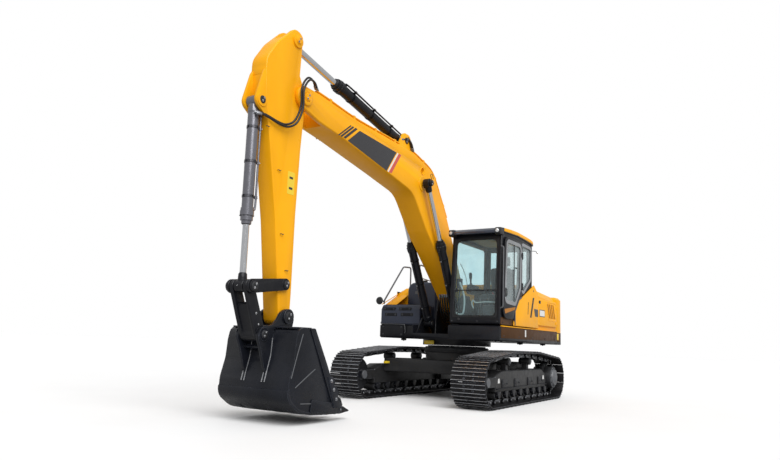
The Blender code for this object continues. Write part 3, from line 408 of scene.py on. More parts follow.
class Shape:
    """A mesh in the making, in the machine frame. Each shape added has its own material."""

    def __init__(self):
        self.bm = bmesh.new()
        self.materials = []

    def _done(self, faces, finish, bevel=0.0):
        if finish not in self.materials:
            self.materials.append(finish)
        index = self.materials.index(finish)
        bmesh.ops.recalc_face_normals(self.bm, faces=faces)
        for face in faces:
            face.material_index = index
            face.smooth = True
        if bevel:
            edges = {e for f in faces for e in f.edges if e.calc_face_angle(0.0) > 0.7}
            bmesh.ops.bevel(self.bm, geom=list(edges), offset=bevel, segments=2, profile=0.5,
                affect="EDGES", clamp_overlap=True, material=-1)

    def _rings(self, rings, closed, finish, bevel=0.0, fill=True):
        """Faces between rings of points, each ring with the next, and with fill a face on both ends."""
        rings = [[self.bm.verts.new(p) for p in ring] for ring in rings]
        faces = [self.bm.faces.new(rings[0]), self.bm.faces.new(rings[-1])] if fill else []
        for near, far in zip(rings, rings[1:] + rings[:1] if closed else rings[1:]):
            faces += [self.bm.faces.new((near[k - 1], near[k], far[k], far[k - 1]))
                for k in range(len(near))]
        self._done(faces, finish, bevel)

    def plate(self, points, push, finish, bevel=0.0):
        """A flat polygon pushed along a vector."""
        self._rings([points, [Vector(p) + Vector(push) for p in points]], False, finish, bevel)

    def slab(self, outline, low, high, finish, bevel=0.0, along="x"):
        """A flat outline pushed along an axis: (y, z) for x, (x, z) for y, (x, y) for z."""
        place = PLACES[along]
        self._rings([[place(u, v, w) for u, v in outline] for w in (low, high)], False, finish, bevel)

    def band(self, inner, outer, push, finish):
        """A flat frame between two closed lines of as many points, pushed along a vector."""
        inner, outer, push = [Vector(p) for p in inner], [Vector(p) for p in outer], Vector(push)
        rings = [inner, outer, [p + push for p in outer], [p + push for p in inner]]
        self._rings(rings, True, finish, fill=False)

    def box(self, x0, x1, y0, y1, z0, z1, finish, bevel=0.004):
        self.slab(rect(x0, x1, y0, y1), z0, z1, finish, bevel, "z")

    def lathe(self, start, way, profile, finish, sides=32):
        """A turned piece along way, or along x where way is 1 or -1. The profile is (distance, radius), and a
        closed ring where it ends as it starts."""
        start, way = Vector(start), Vector((way, 0, 0) if isinstance(way, int) else way).normalized()
        side = way.orthogonal().normalized()
        other = way.cross(side)
        hollow = profile[0] == profile[-1]
        rings = []
        for along, radius in profile[:-1] if hollow else profile:
            middle = start + way * along
            if radius < 1e-6:
                rings.append([self.bm.verts.new(middle)])
                continue
            rings.append([self.bm.verts.new(p) for p in around(middle, side, other, radius, sides)])
        faces = []
        for near, far in zip(rings, rings[1:] + rings[:1] if hollow else rings[1:]):
            for k in range(sides):
                m = (k + 1) % sides
                corners = [near[k % len(near)], near[m % len(near)], far[m % len(far)], far[k % len(far)]]
                faces.append(self.bm.faces.new(list(dict.fromkeys(corners))))
        for ring in () if hollow else (rings[0], rings[-1]):
            if len(ring) > 1:
                faces.append(self.bm.faces.new(ring))
        self._done(faces, finish)

    def turned(self, start, way, radius, profile, finish, sides=32):
        """A turned piece whose profile is (distance, share of the radius)."""
        self.lathe(start, way, [(along, radius * share) for along, share in profile], finish, sides)

    def drum(self, centre, radius, x0, x1, finish, sides=32):
        """A round piece on an axis along x, its rims eased. centre is (y, z)."""
        long = x1 - x0
        edge = min(RIM, long / 3, radius / 2)
        profile = [(0, radius - edge), (edge, radius), (long - edge, radius), (long, radius - edge)]
        self.lathe((x0, *centre), 1, profile, finish, sides)

    def bolt(self, where, way, radius=0.014, high=0.011, finish=None):
        """A hexagon head on its washer."""
        finish = finish or CAST
        self.lathe(where, way, [(-0.002, radius * 1.45), (0.003, radius * 1.45)], finish, 14)
        self.lathe(where, way, [(0, radius), (high * 0.85, radius), (high, radius * 0.82)], finish, 6)

    def tube(self, points, radius, finish, sides=10, steps=6):
        """A round bar or hose along a smooth path through the points, closed at both ends."""
        path = smooth_path(points, steps) if steps else [Vector(p) for p in points]
        ways = [(b - a).normalized() for a, b in zip(path, path[1:])]
        ways = [ways[0], *[(a + b).normalized() for a, b in zip(ways, ways[1:])], ways[-1]]
        side = ways[0].orthogonal().normalized()
        rings = []
        for middle, way in zip(path, ways):
            side = (side - way * side.dot(way)).normalized()
            rings.append(around(middle, side, way.cross(side), radius, sides))
        self._rings(rings, False, finish)

    def rail(self, points, radius, finish, bend=0.09, sides=12):
        """A bent pipe: straight runs with round elbows."""
        points = [Vector(p) for p in points]
        path = [points[0]]
        for before, here, after in zip(points, points[1:], points[2:]):
            reach = min(bend, (before - here).length / 2.1, (after - here).length / 2.1)
            first = here + (before - here).normalized() * reach
            last = here + (after - here).normalized() * reach
            for k in range(7):
                t = k / 6
                path.append(first * (1 - t) ** 2 + here * 2 * t * (1 - t) + last * t**2)
        self.tube([*path, points[-1]], radius, finish, sides, 0)

    def hose(self, points, radius=0.016):
        """A rubber hose with crimped steel fittings."""
        self.tube(points, radius, RUBBER)
        for end, near in (points[:2], points[:-3:-1]):
            way = Vector(near) - Vector(end)
            self.lathe(end, way, [(-0.01, radius), (0, radius * 1.35), (0.06, radius * 1.3)], STEEL, 12)

    def loop(self, points, radius, finish, across=(1, 0, 0), sides=8):
        """A closed round bead or seal along points that lie in a plane, whose normal is about across."""
        middles, across = [Vector(p) for p in points], Vector(across)
        rings = []
        for i, middle in enumerate(middles):
            way = (middles[(i + 1) % len(middles)] - middles[i - 1]).normalized()
            rings.append(around(middle, across, way.cross(across), radius, sides))
        self._rings(rings, True, finish, fill=False)

    def made(self, name):
        mesh = bpy.data.meshes.new(name)
        bmesh.ops.translate(self.bm, verts=self.bm.verts, vec=(0, SWING_Y, 0))
        self.bm.to_mesh(mesh)
        self.bm.free()
        mesh.set_sharp_from_angle(angle=math.radians(SHARP))
        for finish in self.materials:
            mesh.materials.append(finish)
        return placed(name, mesh)

    def ride(self, name, body, slot, *replaced):
        """Finishes the piece on its body, in place of the CAD nodes named last."""
        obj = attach(self.made(name), body)
        if replaced:
            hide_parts(*replaced)
        return obj


def toward(start, end, distance):
    """The point this far from start on the way to end, both (y, z)."""
    way = (Vector(end) - Vector(start)).normalized()
    return tuple(Vector(start) + way * distance)


# ---- undercarriage ------------------------------------------------------------------------------
GAUGE = 1.19
WHEELS_Y, WHEELS_Z, CARRIER_Y, CARRIER_Z = 1.714, 0.42, 0.55, 0.52
PAD_R, SHOES = 0.395, 49
TRACK_PATH = [(-WHEELS_Y, WHEELS_Z), (WHEELS_Y, WHEELS_Z), (CARRIER_Y, CARRIER_Z), (-CARRIER_Y, CARRIER_Z)]


def track_places():
    """Each shoe's middle as (point on the wheels' line, direction out, direction of travel)."""
    sides = []
    for i, corner in enumerate(TRACK_PATH):
        here = Vector(corner)
        arrive, leave = here - Vector(TRACK_PATH[i - 1]), Vector(TRACK_PATH[(i + 1) % 4]) - here
        start = math.atan2(arrive.y, arrive.x)
        sides.append((here, start, (math.atan2(leave.y, leave.x) - start) % (2 * math.pi), leave.length))
    pitch = sum(turn * PAD_R + run for _, _, turn, run in sides) / SHOES
    places = []
    for k in range(SHOES):
        s = (k + 0.5) * pitch
        for here, start, turn, run in sides:
            if s <= turn * PAD_R:
                way = start + s / PAD_R
                break
            s -= turn * PAD_R
            if s <= run:
                way = start + turn
                here = here + Vector((math.cos(way), math.sin(way))) * s
                break
            s -= run
        places.append((here, Vector((math.sin(way), -math.cos(way))),
            Vector((math.cos(way), math.sin(way)))))
    return places, pitch


SHOE = [(0.088, 0.378), (-0.086, 0.378), (-0.097, 0.384), (-0.097, 0.397), (-0.088, 0.393), (-0.08, 0.393),
    (-0.074, 0.4135), (-0.064, 0.4135), (-0.058, 0.393), (-0.012, 0.392), (-0.005, 0.419), (0.005, 0.419),
    (0.012, 0.392), (0.058, 0.392), (0.064, 0.4135), (0.074, 0.4135), (0.08, 0.392), (0.088, 0.391)]


CHAIN_R = 0.338  # from a track's path to its pins


def track(side, name):
    """49 triple-grouser shoes bolted to a chain of side links, pins and bushings."""
    shape = Shape()
    middle = side * GAUGE
    places, pitch = track_places()
    pins = []
    for k, (here, out, way) in enumerate(places):
        def at(t, r):
            return here.x + way.x * t + out.x * r, here.y + way.y * t + out.y * r

        shape.slab([at(*p) for p in SHOE], *about(middle, 0.298), TRACK, 0.003)
        # Pale strips on the three rib tops: worn steel and a painted highlight.
        for t, top in ((-0.069, 0.4148), (0.0, 0.4195), (0.069, 0.4148)):
            shape.slab([at(t + dt, top + dr) for dt, dr in ((-0.0045, -0.004), (0.0045, -0.004),
                (0.0035, 0), (-0.0035, 0))], *about(middle, 0.292), WORN_HIGHLIGHT)
        for x in (-0.078, 0.078):
            for t in (-0.035, 0.035):
                shape.bolt((middle + x, *at(t, 0.391)), (0, out.x, out.y), 0.012, 0.01, TRACK)
        shift = 0.026 * (k % 2)
        link = capsule(at(-pitch / 2, CHAIN_R), at(pitch / 2, CHAIN_R), 0.037, 6)
        for sign in (-1, 1):
            x = middle + sign * (0.06 + shift)
            shape.slab(link, *about(x, 0.012), TRACK, 0.003)
            shape.slab([at(-0.07, 0.301), at(0.07, 0.301), at(0.06, 0.33), at(-0.06, 0.33)],
                *about(x, 0.014), STEEL, 0.003)
        pins.append((Vector(at(pitch / 2, CHAIN_R)), Vector(at(-pitch / 2, CHAIN_R))))
    for k, (end, _) in enumerate(pins):
        pin = (end + pins[(k + 1) % SHOES][1]) / 2
        shape.drum(pin, 0.019, *about(middle, 0.104), STEEL, 12)
        shape.drum(pin, 0.027, *about(middle, 0.046), TRACK, 14)
    return shape.ride(f"track_chain_{name}", "undercarriage", "dark_steel", f"track_{name}")


def track_side(side, name):
    """What the track frame carries: rollers with flanges, guards, covers, the tensioner and marks."""
    shape = Shape()
    middle = side * GAUGE
    for i in range(8):
        y = -1.22 + 2.44 * i / 7
        for x in (-0.155, 0.155):
            shape.drum((y, 0.199), 0.055, middle + x - 0.028, middle + x + 0.028, BLACK, 24)
            shape.box(middle + x - 0.026, middle + x + 0.026, *about(y, 0.075), 0.205, 0.262, BLACK, 0.008)
            for dy in (-0.055, 0.055):
                shape.bolt((middle + x, y + dy, 0.207), DOWN, 0.012)
    face = middle + side * 0.16
    low, high = skin(face, side, 0.012)
    for y in (-0.95, -0.35, 0.35, 0.95):
        shape.slab(rect(*about(y, 0.13), 0.31, 0.46, 0.03), low, high, BLACK, 0.004)
        for dy in (-0.1, 0.1):
            shape.bolt((face + side * 0.012, y + dy, 0.385), side, 0.013)
    shape.slab(rect(-1.33, 1.28, 0.3, 0.315), *skin(face, side, 0.03), BLACK, 0.004)
    for y in (-1.2, 1.16):
        shape.slab([(y - 0.05, 0.4), (y + 0.04, 0.4), (y + 0.02, 0.475), (y - 0.03, 0.475)],
            *skin(face, side, 0.003), WHITE)
    for y in (-CARRIER_Y, CARRIER_Y):
        shape.drum((y, CARRIER_Z + 0.229), 0.042, *about(middle, 0.118), GREY, 24)
    shape.box(*about(middle, 0.17), -1.9, -1.62, 0.355, 0.485, BLACK, 0.01)
    shape.drum((-WHEELS_Y, WHEELS_Z), 0.075, *about(middle, 0.192), GREY, 28)
    hub = middle + side * 0.19
    shape.lathe((hub, WHEELS_Y, WHEELS_Z), side, [(0, 0.205), (0.012, 0.205), (0.014, 0.17), (0.045, 0.152),
        (0.047, 0.115), (0.062, 0.095), (0.07, 0.04), (0.07, 0.0)], GREY, 40)
    for k in range(12):
        y, z = polar((WHEELS_Y, WHEELS_Z), 0.187, 30 * k)
        shape.bolt((hub + side * 0.012, y, z), side, 0.012)
    shape.bolt((hub + side * 0.062, WHEELS_Y + 0.05, WHEELS_Z + 0.05), side, 0.011)
    return shape.ride(f"track_side_{name}", "undercarriage", "black_paint")


def undercarriage():
    for side, name in ((1, "left"), (-1, "right")):
        track(side, name)
        track_side(side, name)
    shape = Shape()
    for k in range(28):
        x, y = polar((0, 0), 0.59, 360 * k / 28)
        shape.bolt((x, y, 0.949), UP, 0.014, 0.014)
    shape.lathe((0, 0, 0.875), UP, [(0, 0.6), (0.004, 0.626), (0.018, 0.626), (0.022, 0.6)], RUBBER, 48)
    for side in (-1, 1):
        shape.box(*skin(0, side, 0.62, 0.55), -0.12, 0.12, 0.55, 0.66, BLACK, 0.01)
    shape.box(-0.955, -0.905, -1.16, -1.02, 0.62, 0.66, STICKER)
    shape.ride("bearing_bolts", "undercarriage", "cast_metal")


# ---- working front ------------------------------------------------------------------------------
def pin_at(joint):
    """Where a joint's pin is, seen from the side."""
    return PIN[joint].y - SWING_Y, PIN[joint].z


BOOM_HALF, ARM_HALF, BUCKET_HALF = 0.2, 0.13, 0.56
BOOM_FOOT = pin_at("boom_lift")
BOOM_TIP = pin_at("arm_crowd")
BUCKET_PIN = pin_at("bucket_curl")
GUIDE_PIN = pin_at("guide_link_swing")
LINK_LOW = pin_at("push_link_swing")
BOOM_CYL_BASE = pin_at("boom_barrel_left_tilt")
ARM_CYL_BASE = pin_at("arm_barrel_tilt")
BUCKET_CYL_BASE = pin_at("bucket_barrel_tilt")
BOOM_CYL_EYE, ARM_CYL_EYE, LINK_TOP = (-1.95, 3.78), (-5.43, 4.96), (-6.03, 1.62)


def surface(node, start, way):
    """Where a ray from start meets the CAD node, with the normal there, both in the machine frame."""
    mesh = NODES[node].data
    if node not in surface.trees:
        surface.trees[node] = BVHTree.FromPolygons([v.co - Vector((0, SWING_Y, 0)) for v in mesh.vertices],
            [tuple(p.vertices) for p in mesh.polygons])
    where, normal, _, _ = surface.trees[node].ray_cast(Vector(start), Vector(way).normalized())
    return where, normal


surface.trees = {}


def over(node, x, ys, lift):
    """Points this far above the node, for a pipe that follows it."""
    points = []
    for y in ys:
        where, normal = surface(node, (x, y, ABOVE), DOWN)
        if where:
            points.append(where + normal * lift)
    return points


def pin_end(shape, centre, x, side, radius, finish=CAST):
    """A pin's end cap, with its keeper plate and bolts, standing on the face at x."""
    shape.turned((x, *centre), side, radius, [(-0.01, 1), (0.006, 1), (0.009, 0.82), (0.016, 0.78),
        (0.018, 0)], finish, 28)
    for angle in (60, 240):
        y, z = polar(centre, radius * 0.5, angle)
        shape.bolt((x + side * 0.016, y, z), side, 0.011, 0.01, STEEL)


# A barrel's outline in shares of its radius, by the distance from its pin and from the gland's end.
BARREL_FOOT = [(0.05, 0), (0.05, 0.93), (0.062, 1.03), (0.145, 1.03), (0.15, 0.98)]
BARREL_HEAD = [(-0.2, 0.98), (-0.198, 1.1), (-0.165, 1.1), (-0.163, 1.18), (-0.105, 1.18), (-0.1, 1.06),
    (-0.045, 1.06), (-0.04, 0.86), (-0.004, 0.84), (0, 0.78)]


def barrel(name, body, base, eye, gland, radius, rod, x, half, finish, pipes, node):
    """A cylinder's barrel: clevis eye, tube, bolted gland with wiper, oil pipes on clamps."""
    shape = Shape()
    start = Vector((x, *base))
    way = (Vector((x, *eye)) - start).normalized()
    bore = rod + 0.004
    profile = [*BARREL_FOOT, *((gland + along, share) for along, share in BARREL_HEAD)]
    profile += [(gland, bore / radius), (0.17, bore / radius), (0.17, 0)]
    shape.turned(start, way, radius, profile, finish, 40)
    shape.lathe(start, way, [(gland - 0.02, bore - 0.002), (gland - 0.02, bore + 0.01),
        (gland + 0.004, bore + 0.008), (gland + 0.006, bore - 0.002), (gland - 0.02, bore - 0.002)], RUBBER,
        28)
    shape.turned(start, way, radius, [(0.15, 0.96), (0.158, 1.03), (0.166, 0.96), (0.15, 0.96)], finish, 40)
    shape.drum(base, radius * 1.04, *about(x, half), finish)
    shape.drum(base, radius * 0.55, x - half - 0.003, x + half + 0.003, STEEL, 24)
    across = Vector((1, 0, 0))
    rise = way.cross(across)
    for where in around(start + way * (gland - 0.105), across, rise, radius * 1.1, 10):
        shape.bolt(where, way, 0.0085, 0.01)
    for into_tube, turn in pipes:
        out = across * math.cos(turn) + rise * math.sin(turn)
        line = radius + 0.026
        path = [(0.11, radius * 0.9), (0.115, line * 1.02), (0.19, line), (gland * 0.5, line),
            (gland - 0.23, line)]
        if into_tube:
            path += [(gland - 0.21, radius * 0.95)]
        else:
            path += [(gland - 0.19, line * 1.12), (gland - 0.135, radius * 1.15)]
        shape.tube([start + way * along + out * lift for along, lift in path], 0.0135, finish, 10, 5)
        for share in (0.22, 0.5, 0.78):
            middle = start + way * gland * share
            shape.turned(middle - way * 0.016, way, radius, [(0, 0.96), (0, 1.055), (0.032, 1.055),
                (0.032, 0.96), (0, 0.96)], finish, 36)
            shape.lathe(middle + out * line - way * 0.018, way, [(0, 0.0), (0, 0.021), (0.036, 0.021),
                (0.036, 0)], finish, 14)
            shape.bolt(middle + out * (line + 0.018), out, 0.008, 0.008, STEEL)
    return shape.ride(name, body, "gunmetal" if finish is GUNMETAL else "black_paint", node)


def rod(name, body, base, eye, stroke_in, radius, x, half, node, cap=0.0):
    """A chromed rod with a welded black eye, its bush and grease nipple."""
    shape = Shape()
    start = Vector((x, *base))
    way = (Vector((x, *eye)) - start).normalized()
    length = math.dist(base, eye)
    first, last = 0.18 + stroke_in, length - 0.16
    shape.lathe(start, way, [(first, radius - 0.003), (first + 0.004, radius), (last, radius)], CHROME, 40)
    shape.turned(start, way, radius, [(last - 0.001, 1.02), (last + 0.015, 1.3), (last + 0.06, 1.36),
        (length - 0.05, 1.45)], BLACK)
    shape.drum(eye, radius * 1.88, *about(x, half), BLACK, 36)
    shape.drum(eye, radius * 1.15, x - half - 0.003, x + half + 0.003, STEEL, 28)
    if cap:
        shape.drum(eye, radius * 1.28, *sorted((x + cap * 0.3, x + cap)), BLACK, 28)
    top = Vector((x, *eye)) + way.cross(Vector((1, 0, 0))) * radius * 1.85
    shape.lathe(top, top - Vector((x, *eye)), [(0, 0.007), (0.012, 0.007), (0.016, 0.003)], STEEL, 10)
    return shape.ride(name, body, "chrome_rod", node)


def cylinders():
    for side, name in ((1, "left"), (-1, "right")):
        barrel(f"boom_barrel_tube_{name}", f"boom_barrel_{name}", BOOM_CYL_BASE, BOOM_CYL_EYE, 1.66, 0.078,
            0.0425, side * 0.3, 0.08, BLACK, ((True, math.pi / 2), (False, math.pi * 1.5)),
            f"boom_cylinder_{name}")
        rod(f"boom_rod_bar_{name}", f"boom_rod_{name}", BOOM_CYL_BASE, BOOM_CYL_EYE, 0.62, 0.0425,
            side * 0.3, 0.055, f"boom_rod_{name}", side * 0.085)
    barrel("arm_barrel_tube", "arm_barrel", ARM_CYL_BASE, ARM_CYL_EYE, 1.98, 0.085, 0.0475, 0.0, 0.09,
        BLACK, ((True, 0.6), (False, 2.5)), "arm_cylinder")
    rod("arm_rod_bar", "arm_rod", ARM_CYL_BASE, ARM_CYL_EYE, 0.84, 0.0475, 0.0, 0.062, "arm_rod")
    barrel("bucket_barrel_tube", "bucket_barrel", BUCKET_CYL_BASE, LINK_TOP, 1.56, 0.072, 0.04, 0.0, 0.075,
        GUNMETAL, ((True, -1.1), (False, -2.1)), "bucket_cylinder")
    rod("bucket_rod_bar", "bucket_rod", BUCKET_CYL_BASE, LINK_TOP, 0.56, 0.04, 0.0, 0.068, "bucket_rod")


LANES = (0.18, 0.148)
BOOM_PANEL = [(-3.97, 4.14), (-4.27, 3.9), (-3.16, 3.72), (-2.87, 4.1)]


def boom_details():
    shape = Shape()
    for side in (-1, 1):
        face = side * BOOM_HALF
        low, high = skin(face, side, 0.002, 0.0005)
        shape.slab(BOOM_PANEL, low, high, DECAL)
        for shift, wide, finish in ((0.025, 0.035, WHITE), (0.075, 0.075, PINK)):
            shape.slab([(-2.87 + shift, 4.1), (-3.16 + shift, 3.72), (-3.16 + shift + wide, 3.715),
                (-2.87 + shift + wide, 4.095)], low, high, finish)
        for shift, wide in ((0.06, 0.05), (0.15, 0.035), (0.22, 0.02)):
            shape.slab([(-3.97 - shift, 4.145), (-4.27 - shift, 3.91), (-4.27 - shift - wide, 3.92),
                (-3.97 - shift - wide, 4.155)], low, high, DECAL)
        shape.loop(at_x(face, arc((-1.96, 4.01), 0.062, 0, 350, 35)), 0.008, YELLOW)
        shape.lathe((face, *BOOM_TIP), side, [(0.0, 0.118), (0.026, 0.112), (0.032, 0.1), (0.034, 0.07),
            (0.03, 0.066), (0.03, 0)], YELLOW, 40)
        pin_end(shape, BOOM_TIP, side * 0.23, side, 0.062, YELLOW)
        shape.lathe((face + side * 0.008, *BOOM_CYL_EYE), side, [(0, 0.135), (0.006, 0.13), (0.006, 0)],
            YELLOW, 40)
        pin_end(shape, BOOM_CYL_EYE, side * 0.388, side, 0.052, BLACK)
        shape.tube([(side * 0.395, -1.97, 3.83), (side * 0.4, -2.03, 3.9), (side * 0.395, -1.96, 3.93),
            (side * 0.392, -1.91, 3.86)], 0.005, RUBBER, 8)
        shape.lathe((face, *BOOM_FOOT), side, [(-0.02, 0.145), (0.006, 0.14)], YELLOW, 36)
        pin_end(shape, ARM_CYL_BASE, side * 0.14, side, 0.055, BLACK)
        for ys in ((-0.95, -1.2, -1.55, -2.0, -2.28), (-2.75, -3.4, -4.1, -4.75, -5.02)):
            for lane in LANES:
                shape.tube(over("boom", side * lane, ys, 0.03), 0.0125, YELLOW)
        for y in (-1.1, -1.45, -1.9, -2.9, -3.5, -4.1, -4.7):
            where, normal = surface("boom", (side * 0.164, y, ABOVE), DOWN)
            shape.lathe(where, normal, [(0, 0.036), (0.05, 0.036), (0.052, 0.03)], YELLOW, 4)
            shape.bolt(where + normal * 0.051, normal, 0.01, 0.009, STEEL)
    shape.box(-0.15, 0.15, -2.95, -2.8, 4.26, 4.285, YELLOW, 0.006)
    for y in (-3.3, -3.95):
        where, normal = surface("boom", (0, y, ABOVE), DOWN)
        shape.box(-0.03, 0.03, *about(y, 0.06), where.z - 0.004, where.z + 0.05, YELLOW, 0.012)
    shape.ride("boom_fittings", "boom", "yellow_paint")

    hoses = Shape()
    for side in (-1, 1):
        for lane, rise in zip(LANES, (0.16, 0.2)):
            x = side * lane
            a = over("boom", x, (-2.28,), 0.03)[0]
            hoses.hose([a, a + Vector((0, -0.06, rise * 0.7)), a + Vector((-x * 0.15, -0.13, rise * 1.15)),
                a + Vector((-x * 0.25, -0.24, rise * 0.95)), a + Vector((-x * 0.3, -0.33, rise * 0.8))],
                0.015)
    hoses.ride("boom_top_hoses", "boom", "black_paint")


def arm_details():
    shape = Shape()
    for side in (-1, 1):
        face = side * ARM_HALF
        low, high = skin(face, side, 0.002, 0.0005)
        shape.slab(rect(-5.47, -5.33, 2.86, 3.16, 0.015), low, high, STICKER)
        for z in (2.925, 3.065):
            shape.box(*skin(face, side, 0.0028), -5.435, -5.365, z, z + 0.03, DECAL, 0.0)
        for y, z in ((-5.67, 3.12), (-5.55, 2.32), (-5.42, 1.87), (-5.93, 3.62)):
            shape.tube([(face, y, z), (face + side * 0.022, y, z), (face + side * 0.024, y + 0.02,
                z - 0.006), (face + side * 0.022, y + 0.04, z), (face, y + 0.04, z)], 0.005, CAST, 8, 3)
        shape.lathe((face, *ARM_CYL_EYE), side, [(0, 0.1), (0.024, 0.095), (0.026, 0)], YELLOW, 36)
        pin_end(shape, ARM_CYL_EYE, face + side * 0.026, side, 0.055, YELLOW)
        shape.lathe((side * 0.125, *BUCKET_CYL_BASE), side, [(-0.01, 0.088), (0.012, 0.084), (0.014, 0)],
            YELLOW)
        pin_end(shape, BUCKET_CYL_BASE, side * 0.137, side, 0.048, CAST)
        shape.lathe((face, *BOOM_TIP), side, [(-0.02, 0.14), (0.005, 0.138), (0.0055, 0.0)], YELLOW, 36)
    shape.box(-0.115, 0.115, -5.995, -5.975, 4.3, 4.42, YELLOW, 0.006)
    for x in (-0.055, 0.055):
        path = [surface("arm", (x, -3.0, z), (0, -1, 0))[0] + Vector((0, 0.028, 0)) for z in (4.0, 3.5, 2.9,
            2.3, 1.9)]
        shape.tube(path, 0.012, YELLOW)
    for z in (3.7, 2.9, 2.1):
        where, _ = surface("arm", (0, -3.0, z), (0, -1, 0))
        shape.box(-0.08, 0.08, where.y - 0.004, where.y + 0.045, *about(z, 0.03), YELLOW, 0.006)
    shape.ride("arm_fittings", "arm", "yellow_paint")


# The outer hose's points, x from its lane, and the share of a lane by which the inner hose stands higher.
TIP_HOSE = [(-0.02, -5.0, 4.4, 1), (0.03, -5.13, 4.46, 1), (0.075, -5.3, 4.43, 1), (0.095, -5.43, 4.25, 1),
    (0.085, -5.42, 4.0, 1), (0.05, -5.48, 3.79, 1), (0.01, -5.6, 3.7, 1), (-0.01, -5.74, 3.695, 1),
    (-0.03, -5.88, 3.72, 1), (-0.055, -6.0, 3.745, 0.8), (-0.085, -6.085, 3.74, 0.6)]


def tip_hoses():
    """The two bucket hoses from the boom's tip, in a slack loop past the arm's left face."""
    for lane, name in ((0.0, "outer"), (0.036, "inner")):
        hose = Shape()
        x = 0.195 - lane
        hose.hose([(x + dx, y, z + lane * share) for dx, y, z, share in TIP_HOSE], 0.0145)
        piece = hose.made(f"tip_hose_{name}")
        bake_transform(piece)


BUCKET_BACK = [(-4.95, 0.105, 0), (-5.3, 0.125, 0.5), (-5.52, 0.16, 0.4), (-5.74, 0.31, 0.16),
    (-5.735, 0.42, 0)]


def bucket_details():
    shape = Shape()
    outer = rounded([(y - 0.004, z - 0.01, r) if z < 0.2 else (y - 0.014, z - 0.004, r) for y, z,
        r in BUCKET_BACK], 8)
    inner = rounded([(y + 0.02, z + 0.02, max(r - 0.02, 0)) for y, z, r in BUCKET_BACK], 8)
    shape.slab(outer + inner[::-1], -BUCKET_HALF - 0.004, BUCKET_HALF + 0.004, BUCKET, 0.003)
    for x in (-0.37, -0.125, 0.125, 0.37):
        shape.slab([(y, z - 0.004) for y, z in outer[:18]] + [(y, z + 0.02) for y, z in outer[:18]][::-1],
            *about(x, 0.05), BUCKET, 0.004)
    for side in (-1, 1):
        face = side * BUCKET_HALF
        low, high = skin(face, side, 0.014)
        shape.slab([(-5.29, 1.15), (-5.39, 1.15), (-5.18, 0.78), (-4.86, 0.2), (-4.72, 0.2), (-5.02, 0.72)],
            low, high, BUCKET, 0.004)
        shape.slab(rounded([(-5.32, 0.14, 0.02), (-4.8, 0.125, 0.02), (-4.78, 0.22, 0.02),
            (-5.3, 0.3, 0.03)], 4), low, high, BUCKET, 0.004)
        cutter = [(-5.0, 0.56), (-4.9, 0.56), (-4.845, 0.5), (-4.86, 0.45), (-4.8, 0.42), (-4.755, 0.36),
            (-4.775, 0.31), (-4.71, 0.28), (-4.665, 0.2), (-4.7, 0.17), (-4.84, 0.17)]
        low, high = skin(face, side, 0.026, 0.012)
        shape.slab(cutter, low, high, BUCKET, 0.003)
        for y, z in ((-4.93, 0.51), (-4.87, 0.4), (-4.81, 0.28)):
            shape.bolt((face + side * 0.026, y, z), side, 0.016, 0.013, STEEL)
        # Weld beads in light grey and bright steel: painted highlights on welds that are painted black.
        bead = face + side * 0.002
        for line in (((-5.52, 1.08), (-5.6, 0.86), (-5.7, 0.56)), ((-5.62, 0.45), (-5.36, 0.6),
                (-5.25, 0.66)), ((-5.51, 0.26), (-5.3, 0.25), (-5.08, 0.24))):
            shape.tube(at_x(bead, line), 0.006, GREY, 8, 3)
        # The rib welds in bright steel: a painted highlight.
        for x in (0.143, 0.187):
            shape.tube([(side * x, y, z) for y, z in ((-5.64, 1.02), (-5.655, 0.82), (-5.7, 0.66),
                (-5.743, 0.5))], 0.007, STEEL, 8, 4)
        pin_end(shape, BUCKET_PIN, side * 0.21, side, 0.062)
        shape.lathe((side * 0.207, *BUCKET_PIN), side, [(0, 0.093), (0.006, 0.088), (0.006, 0)], BUCKET)
        shape.lathe((side * 0.185, *LINK_LOW), side, [(0, 0.085), (0.012, 0.08), (0.014, 0)], BUCKET)
        pin_end(shape, LINK_LOW, side * 0.198, side, 0.048)
    shape.slab([(-5.66, 0.86), (-5.645, 0.9), (-5.76, 0.935), (-5.78, 0.9)], -0.146, 0.146, BUCKET, 0.004)
    shape.slab(rect(-5.3, -5.6, 1.142, 1.162), -0.52, 0.52, BUCKET, 0.005)
    for i in range(5):
        x = -0.49 + 0.245 * i
        shape.slab([(-4.93, 0.162), (-4.78, 0.188), (-4.64, 0.176), (-4.6, 0.158), (-4.6, 0.1),
            (-4.66, 0.088), (-4.92, 0.092)], *about(x, 0.05), BUCKET, 0.008)
        shape.slab([(-4.66, 0.185), (-4.58, 0.176), (-4.44, 0.118), (-4.438, 0.104), (-4.6, 0.086),
            (-4.67, 0.082)], *about(x, 0.043), TRACK, 0.006)
        shape.drum((-4.635, 0.135), 0.014, *about(x, 0.056), STEEL, 12)
    shape.ride("bucket_fittings", "bucket", "dark_steel")


def link_details():
    shape = Shape()
    for side in (-1, 1):
        pin_end(shape, LINK_TOP, side * 0.205, side, 0.055)
        pin_end(shape, GUIDE_PIN, side * 0.192, side, 0.045)
        shape.loop(at_x(side * 0.178, arc(LINK_TOP, 0.079, 0, 345, 23)), 0.006, BLACK)
        shape.loop(at_x(side * 0.178, arc(GUIDE_PIN, 0.07, 0, 345, 23)), 0.006, BLACK)
    shape.ride("guide_link_pins", "guide_link", "black_paint")
    shape = Shape()
    for side in (-1, 1):
        for distance in (0.34, 0.48):
            y, z = toward(LINK_TOP, LINK_LOW, distance)
            shape.bolt((side * 0.135, y, z), side, 0.01, 0.008, STEEL)
    for distance in (0.36, 0.58):
        y, z = toward(LINK_TOP, LINK_LOW, distance)
        shape.tube([(-0.085, y, z + 0.06), (0.0, y - 0.012, z + 0.065), (0.085, y, z + 0.06)], 0.006, STEEL,
            8, 3)
    shape.ride("push_link_beads", "push_link", "black_paint")


